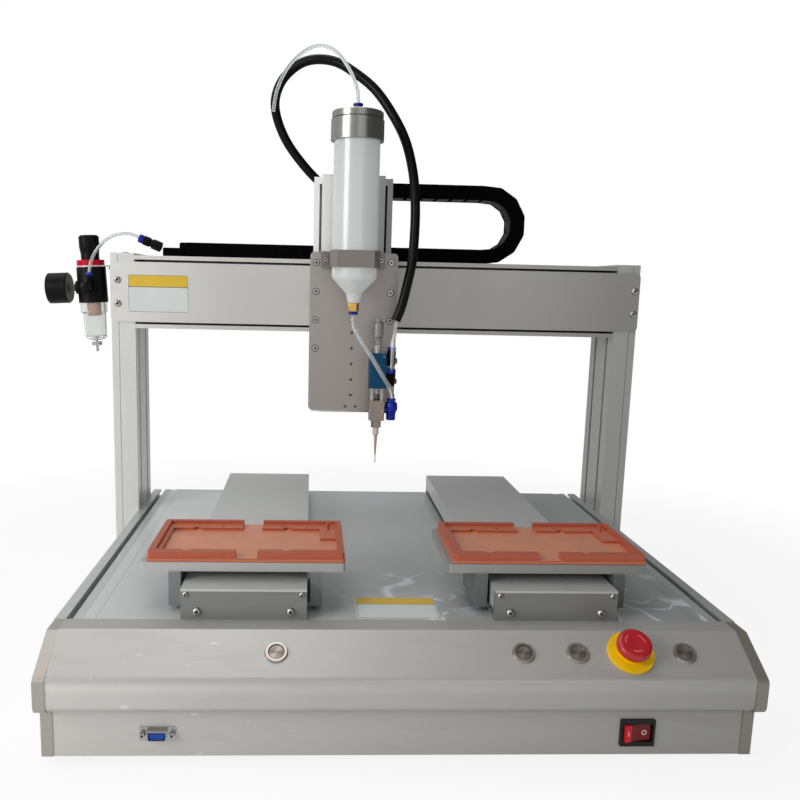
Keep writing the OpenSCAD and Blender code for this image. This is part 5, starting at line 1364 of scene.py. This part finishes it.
@dataclass
class BaseHousing:
    """The extruded front, its end caps, the side frames, the deck and the tray."""

    deck_z: float = 104.5
    label_mid: tuple[float, float] = (-1.0, -177.0)
    label_size: tuple[float, float] = (77.0, 49.0)
    strip_share: float = 0.33
    groove_x: tuple[float, float] = (285.9, 293.8)
    groove_end: tuple[float, float] = (243.0, 249.6)

    def deck_label(self) -> None:
        """Lays the blank two-tone plate on the deck."""
        width, depth = self.label_size
        form = Form()
        base = at(self.label_mid[0], self.label_mid[1], self.deck_z)
        two_tone_plate(form, base, width, depth, self.strip_share)
        form.piece("deck_label", "frame")

    def build(self) -> None:
        """Dresses the housing and lays its label."""
        dress(FASCIA, "front_fascia")
        dress(CAP_GREY, "end_caps")
        dress(RAIL_SIDE, "side_frames")
        dress(DECK, "deck_plate")
        dress(TRAY, "base_tray")
        dress(RUBBER, "rubber_feet")
        dress(PCB, "control_electronics")
        form = Form()
        for side in (-1, 1):
            edges = sorted((side * self.groove_x[0], side * self.groove_x[1]))
            form.block((edges[0], self.groove_end[0], self.deck_z - 7.5),
                       (edges[1], self.groove_end[1], self.deck_z - 0.3), RAIL_SIDE)
        form.piece("groove_ends", "frame")
        self.deck_label()


@dataclass
class ControlPanel:
    """The push buttons, the stop button, the mains rocker and the serial port."""

    slope_y: float = -244.99
    slope_z: float = 92.2
    skirt_y: float = -250.0
    port_z: float = 21.06
    button_x: tuple[float, ...] = (-110.98, 102.92, 150.41, 245.09)
    stop_x: float = 196.85
    serial_x: float = -211.42
    button_face: float = 1.2

    def on_slope(self, x: float) -> Matrix:
        """Returns the frame on the sloping panel, Z outwards."""
        return at(x, self.slope_y, self.slope_z) @ Matrix.Rotation(SLOPE_TILT, 4, "X")

    def on_skirt(self, x: float) -> Matrix:
        """Returns the frame on the upright skirt, Z outwards."""
        return facing(x, self.skirt_y, self.port_z, "-Y")

    def buttons(self) -> None:
        """Dresses the push buttons and gives two of them their dark ring."""
        for number, x in enumerate(self.button_x, start=1):
            centre = tuple(self.on_slope(x).translation)
            # 0.6 and -0.35 set the strength and the turn of the painted highlight.
            dress(SpunSteel(f"button_face_{number}", (134, 127, 120), 0.3, 0.85, "steel",
                            centre, SLOPE_TILT, 0.6, -0.35),
                  f"push_button_{number}")
            if number <= 2:
                ring = Form()
                spot = self.on_slope(x)
                ring.lathe([(6.4, self.button_face - 0.05), (7.0, self.button_face - 0.05),
                            (7.0, self.button_face + 0.06), (6.4, self.button_face + 0.06),
                            (6.4, self.button_face - 0.05)], spot, INK_AND_SHADE_BLACK, 48)
                ring.piece(f"button_ring_{number}", f"push_button_{number}")

    def stop(self) -> None:
        """Makes the mushroom head with its flat crown and a plain turning mark."""
        spot = self.on_slope(self.stop_x)
        form = Form()
        form.lathe([(12.6, 12.5), (12.6, 8.4), (13.6, 8.2), (14.4, 8.9), (14.75, 10.2),
                    (14.75, 14.4), (14.3, 16.0), (13.2, 16.9), (11.6, 17.2), (6.0, 16.9),
                    (0.0, 16.7)], spot, RED, 56)
        form.lathe([(12.6, 12.5), (5.6, 12.5)], spot, RED, 56)
        for third in range(3):
            turn = Matrix.Rotation(third * 2 * math.pi / 3 + 0.5, 4, "Z")
            points = [(8.6 + wide, angle) for wide, angle in
                      ((0.0, -0.5), (0.9, -0.5), (0.9, 0.32), (1.9, 0.32), (0.45, 0.62),
                       (-1.0, 0.32), (0.0, 0.32))]
            outline = [(radius * math.cos(angle), radius * math.sin(angle))
                       for radius, angle in points]
            form.prism(outline, spot @ at(0, 0, 16.85) @ turn, 0.2, STOP_MARK)
        form.piece("stop_head", "estop_head", 40.0, ["estop_head"])

    def port(self) -> None:
        """Lays nine dark discs on the port's insert as painted shade for the contacts' holes.
        """
        form = Form()
        for row, count in ((1.4, 5), (-1.4, 4)):
            for number in range(count):
                x = self.serial_x + (number - (count - 1) / 2) * 2.75
                form.disc(0.62, 0.0, 0.05, facing(x, -255.52, self.port_z + row, "-Y"),
                          INK_AND_SHADE_BLACK, 0.0, 14)
        form.piece("port_holes", "frame")

    def marks(self) -> None:
        """Prints a ring and a bar on the rocker."""
        right = at(212.6, -250.55, self.port_z) @ Matrix.Rotation(
            math.radians(5.6), 4, "Z") @ Matrix.Rotation(math.pi / 2, 4, "X")
        form = Form()
        form.lathe([(1.7, 0.0), (1.7, 0.12), (2.3, 0.12), (2.3, 0.0), (1.7, 0.0)], right,
                   WHITE_INK, 28)
        left = at(197.8, -253.66, self.port_z) @ Matrix.Rotation(
            math.radians(8.0), 4, "Z") @ Matrix.Rotation(math.pi / 2, 4, "X")
        form.block((-0.3, -2.0, 0.0), (0.3, 2.0, 0.12), WHITE_INK, 0.0, left)
        form.piece("rocker_marks", "rocker")

    def build(self) -> None:
        """Makes and dresses the controls."""
        self.buttons()
        dress(BEZEL_PARTS, "panel_bezels")
        dress(BLACK, "estop_stem")
        dress(ROCKER_RED, "rocker")
        dress(PORT_PARTS, "serial_port")
        self.stop()
        self.port()
        self.marks()


@dataclass
class Gantry:
    """The two columns, the beam with its cover, and what is screwed to them."""

    cover_y: float = 141.0
    label_x: tuple[float, float] = (-318.5, -241.2)
    label_z: tuple[float, float] = (363.5, 412.4)
    strip_share: float = 0.32
    cover_screws: tuple[tuple[float, float], ...] = (
        (-331.0, 404.5), (-331.0, 375.0), (333.5, 404.5), (333.5, 375.0))

    def label(self) -> None:
        """Sticks the blank two-tone plate on the beam's cover."""
        width = self.label_x[1] - self.label_x[0]
        height = self.label_z[1] - self.label_z[0]
        middle = facing(sum(self.label_x) / 2, self.cover_y, sum(self.label_z) / 2, "-Y")
        form = Form()
        two_tone_plate(form, middle, width, height, self.strip_share)
        form.piece("beam_label", "frame")

    def build(self) -> None:
        """Dresses the gantry and sets its screws."""
        dress(UPRIGHT, "column_left", "column_right")
        dress(BEAM, "beam_frame", "beam_cover")
        dress(STEEL, "guide_rails", "x_screw", "y_left_screw", "y_right_screw", "z_screw")
        dress(MOTOR_BLACK, "stepper_motors", "z_motor")
        form = Form()
        for x, z in self.cover_screws:
            form.screw(facing(x, self.cover_y, z, "-Y"), 4.6, 2.6, 2.0)
        form.piece("beam_screws", "frame")
        self.label()


@dataclass
class Stations:
    """The two sliding stations: covers, end plates, tables and fixtures."""

    station_x: tuple[float, float] = (-142.0, 142.0)
    front_y: float = -205.4
    upper_screw: tuple[float, float] = (52.0, 128.0)
    lower_screw: tuple[float, float] = (42.0, 112.0)
    bearing_z: float = 116.5

    def build(self) -> None:
        """Dresses the stations and sets the screws in their end plates."""
        dress(COVER_GREY, "y_covers")
        dress(END_GREY, "y_frames")
        dress(TABLE, "y_left_carriage", "y_right_carriage")
        dress(FIXTURE, "y_left_jig", "y_right_jig")
        form = Form()
        for mid in self.station_x:
            for side in (-1, 1):
                x, z = self.upper_screw
                form.screw(facing(mid + side * x, self.front_y, z, "-Y"), 2.9, 2.0, 1.3)
                x, z = self.lower_screw
                form.screw(facing(mid + side * x, self.front_y, z, "-Y"), 4.1, 2.8, 1.8)
            form.disc(7.4, 0.0, 0.05, facing(mid, self.front_y, self.bearing_z, "-Y"),
                      END_GREY)
        form.piece("station_screws", "frame")


@dataclass
class Head:
    """The travelling head: module, cover, plate, reservoir, clamp and their screws."""

    plate_y: float = 76.0
    clamp_screws: tuple[float, float] = (-70.0, -4.0)
    clamp_y: float = 71.0
    clamp_z: float = 433.5
    plate_screws: tuple[tuple[float, float], ...] = (
        (-80.5, 430.0), (-80.5, 396.0), (-80.5, 362.0), (-80.5, 328.0),
        (9.0, 431.5), (9.0, 395.7), (9.0, 362.3))

    def build(self) -> None:
        """Dresses the head and sets the plate's screws."""
        dress(HEAD, "x_carriage", "z_frame", "z_cover")
        dress(PLATE, "z_plate")
        dress(CLAMP, "tube_clamp")
        dress(MILKY, "reservoir_tube")
        dress(CAP_TURNED, "reservoir_cap")
        form = Form()
        # Painted shade: a dark ring under each screw head below, on the plate and on the
        # clamp, stands for the shaded gap round the head.
        for x, z in self.plate_screws:
            spot = facing(x, self.plate_y, z, "-Y")
            form.disc(4.3, 0.0, 0.06, spot, SOCKET_SHADE, 0.0, 28)
            form.screw(spot @ at(0, 0, 0.05), 3.5, 0.7, 1.8, dome=False)
        for x in self.clamp_screws:
            spot = facing(x, self.clamp_y, self.clamp_z, "-Y")
            form.disc(3.5, 0.0, 0.06, spot, SOCKET_SHADE, 0.0, 28)
            form.screw(spot @ at(0, 0, 0.05), 2.9, 1.6, 1.5, dome=False)
        form.piece("plate_screws", "z_slide")


@dataclass
class Valve:
    """The needle valve with its fittings and stroke adjuster."""

    axis: tuple[float, float] = (-6.5, 50.0)
    port_x: float = 3.9
    ports: tuple[tuple[float, float], ...] = ((316.5, 12.0), (292.5, 32.0))
    elbow_off: float = 5.6
    elbow_r: float = 5.3
    fluid_at: Point = (11.0, 50.0, 246.0)
    tank: tuple[float, float] = (-37.0, 44.0)

    def elbow(self, form: Form, height: float, lean: float) -> None:
        """Adds a black swivel elbow with its blue collar and its banjo bolt."""
        spot = at(self.port_x, self.axis[1], height) @ Matrix.Rotation(
            math.radians(lean), 4, "X")
        body = spot @ at(self.elbow_off, 0, 0)
        r = self.elbow_r
        form.lathe([(0.0, -r), (r - 0.9, -r), (r, -r + 0.9), (r, 11.4), (r - 0.4, 12.0),
                    (r - 0.4, 13.2), (0.0, 13.2)], body, BLACK, 32)
        form.lathe([(2.1, 15.9), (2.6, 16.7), (4.3, 16.7), (r - 0.1, 16.1), (r - 0.1, 14.9),
                    (4.0, 14.3), (3.7, 13.0), (2.1, 13.0), (2.1, 15.9)], body, BLUE, 32)
        across = Matrix.Rotation(math.pi / 2, 4, "Y")
        form.disc(4.6, -0.0, self.elbow_off, spot @ across, BLACK, 0.0, 28)
        form.disc(3.4, self.elbow_off + r - 0.9, self.elbow_off + r + 1.9, spot @ across,
                  BRONZE, 0.5, 6)
        # Painted shade: a dark hex on the bolt's end stands for the shade in its socket.
        form.disc(1.5, self.elbow_off + r + 1.85, self.elbow_off + r + 1.95,
                  spot @ across, INK_AND_SHADE_BLACK, 0.0, 6)

    def fittings(self) -> None:
        """Makes every push-in fitting of the valve and the reservoir."""
        form = Form()
        for height, lean in self.ports:
            self.elbow(form, height, lean)
        low = at(*self.fluid_at)
        form.lathe([(0.0, 0.0), (4.9, 0.0), (5.5, 0.8), (5.7, 8.0), (6.6, 10.5), (6.9, 13.0),
                    (6.9, 20.6), (6.2, 21.6), (4.4, 22.0), (4.3, 22.6), (5.6, 23.2),
                    (5.6, 25.0), (4.8, 26.0), (2.6, 26.0), (2.1, 25.2), (2.1, 22.0)],
                   low, BLUE, 36)
        form.disc(4.2, 0.0, 7.0, facing(2.5, 50.0, self.fluid_at[2] + 12.0, "+X"), BLUE,
                  0.0, 28)
        form.disc(4.6, 5.6, 7.4, facing(self.fluid_at[0], 50.0, self.fluid_at[2] + 15.5,
                                        "+X"), BLUE, 0.8, 24)
        neck = at(*self.tank, 0.0)
        form.disc(6.2, 374.2, 384.0, neck, BRASS, 0.7, 6)
        form.lathe([(2.2, 370.6), (5.2, 370.6), (5.7, 371.3), (5.7, 372.8), (4.6, 373.4),
                    (4.6, 374.4), (2.2, 374.4), (2.2, 370.6)], neck, BLUE, 32)
        form.disc(5.6, 595.5, 601.3, neck, BRASS, 0.7, 6)
        form.lathe([(2.2, 601.2), (4.6, 601.2), (4.6, 602.4), (5.7, 602.9), (5.7, 604.2),
                    (5.0, 605.0), (2.7, 605.0), (2.2, 604.4), (2.2, 601.2)], neck, BLUE, 32)
        form.piece("head_fittings", "z_slide", 35.0, ["push_fittings"])

    def screws(self) -> None:
        """Sets the small screws of the valve's front."""
        form = Form()
        for x, z in ((-13.2, 257.4), (0.2, 257.4)):
            form.screw(facing(x, 41.0, z, "-Y"), 1.7, 0.8, 0.8)
        form.screw(facing(0.4, 39.6, 322.4, "-Y"), 1.2, 0.5, 0.5)
        for x in (-11.0, -2.0):
            form.disc(1.3, 270.0, 284.4, at(x, 45.5, 0.0), SCREW, 0.0, 16)
        form.lathe([(3.2, 270.1), (4.2, 270.9), (3.2, 271.7), (4.2, 272.5), (3.2, 273.3),
                    (4.2, 274.1), (3.2, 274.9), (4.2, 275.7), (3.2, 276.5)],
                   at(*self.axis, 0.0), SCREW, 24)
        form.piece("valve_screws", "z_slide")

    def build(self) -> None:
        """Dresses the valve and makes its fittings and screws."""
        dress(VALVE_PARTS, "valve_body")
        dress(FLUID_STEEL, "fluid_body")
        dress(NEEDLE_PARTS, "dispense_needle")
        dress(STEEL, "stroke_spindle")
        dress(CAP_TURNED, "stroke_thimble")
        self.fittings()
        self.screws()


@dataclass
class Regulator:
    """The air regulator with its filter bowl, its gauge and the supply fittings."""

    origin: Point = (-368.6, 170.0, 374.5)
    lean: float = math.radians(-3.2)
    port_z: float = 20.0
    front_y: float = -21.3
    face_x: float = -50.55
    inline_at: Point = (-306.0, 170.0, 457.0)
    inline_tilt: float = math.radians(112.0)

    def here(self) -> Matrix:
        """Returns the regulator's own frame, Z along its body."""
        return at(*self.origin) @ Matrix.Rotation(self.lean, 4, "Y")

    def supply(self) -> None:
        """Makes the elbow at the regulator and the inline fitting over the beam."""
        form = Form()
        port = self.here() @ at(0, self.front_y, self.port_z)
        form.disc(7.0, 0.0, 12.0, port @ Matrix.Rotation(math.pi / 2, 4, "X"), BLACK, 1.2,
                  32)
        elbow = port @ at(0, -6.0, 0) @ Matrix.Rotation(math.radians(16.0), 4, "Y")
        form.lathe([(0.0, -5.6), (4.4, -5.4), (5.6, -4.0), (5.6, 13.8), (5.0, 15.0),
                    (0.0, 15.0)], elbow, BLACK, 32)
        form.lathe([(2.1, 14.8), (4.3, 14.8), (4.4, 15.9), (5.2, 16.3), (5.2, 17.4),
                    (4.6, 18.0), (2.6, 18.0), (2.1, 17.4), (2.1, 14.8)], elbow, BLUE, 32)
        line = at(*self.inline_at) @ Matrix.Rotation(self.inline_tilt, 4, "Y")
        form.lathe([(2.1, -2.6), (2.6, -3.0), (4.8, -3.0), (5.4, -2.4), (5.4, 2.6),
                    (5.0, 3.4), (2.1, 3.4), (2.1, -2.6)], line, BLUE, 32)
        form.lathe([(0.0, 3.3), (5.4, 3.3), (6.0, 4.0), (6.0, 11.4), (5.0, 12.4),
                    (5.0, 15.6), (0.0, 15.6)], line, BLACK, 32)
        form.disc(6.4, 15.4, 27.6, line, BLACK, 0.8, 6)
        form.piece("supply_fittings", "frame")

    def dial(self) -> None:
        """Prints the gauge's white dial with its ticks and its hub."""
        form = Form()
        face = (self.here() @ at(self.face_x, 0, self.port_z)
                @ Matrix.Rotation(-math.pi / 2, 4, "Y") @ Matrix.Rotation(
                    -math.pi / 2, 4, "Z"))
        form.disc(15.6, 0.0, 0.12, face, DIAL_WHITE, 0.0, 56)
        for tick in range(31):
            turn = math.radians(225 - tick * 9)
            long = 2.2 if tick % 5 == 0 else 1.2
            mark = face @ Matrix.Rotation(turn, 4, "Z")
            form.block((13.6 - long, -0.12, 0.12), (13.6, 0.12, 0.2), INK_AND_SHADE_BLACK, 0.0, mark)
        form.disc(2.0, 0.12, 0.5, face, BLACK, 0.1, 24)
        form.piece("gauge_dial", "frame")

    def bracket(self) -> None:
        """Sets the screws that hold the bracket to the column."""
        form = Form()
        for z in (418.0, 433.0):
            form.screw(facing(-340.0, 170.0, z, "-X"), 4.0, 2.4, 1.7)
        for y in (158.0, 170.0):
            form.screw(facing(-325.0, y, 438.0, "+Z"), 3.6, 1.6, 1.5)
        form.piece("bracket_screws", "frame")

    def build(self) -> None:
        """Dresses the regulator and makes its fittings, dial and screws."""
        dress(REGULATOR_PARTS, "regulator_body")
        dress(BLACK, "regulator_knob")
        dress(GAUGE_PARTS, "pressure_gauge")
        dress(STEEL, "regulator_spindle", "drain_valve")
        dress(NEEDLE_RED, "gauge_needle")
        dress(CLEAR, "filter_bowl")
        dress(ELEMENT, "filter_element")
        self.supply()
        self.dial()
        self.bracket()


def main() -> None:
    """Builds the studio and each sub-assembly in order."""
    logging.basicConfig(level=logging.INFO, format="%(message)s")
    for part in (Studio(), Hoses(), DragChain(), BaseHousing(), ControlPanel(), Gantry(),
                 Stations(), Head(), Valve(), Regulator()):
        part.build()
        LOG.info("%s done", type(part).__name__)


if __name__ == "__main__":
    main()
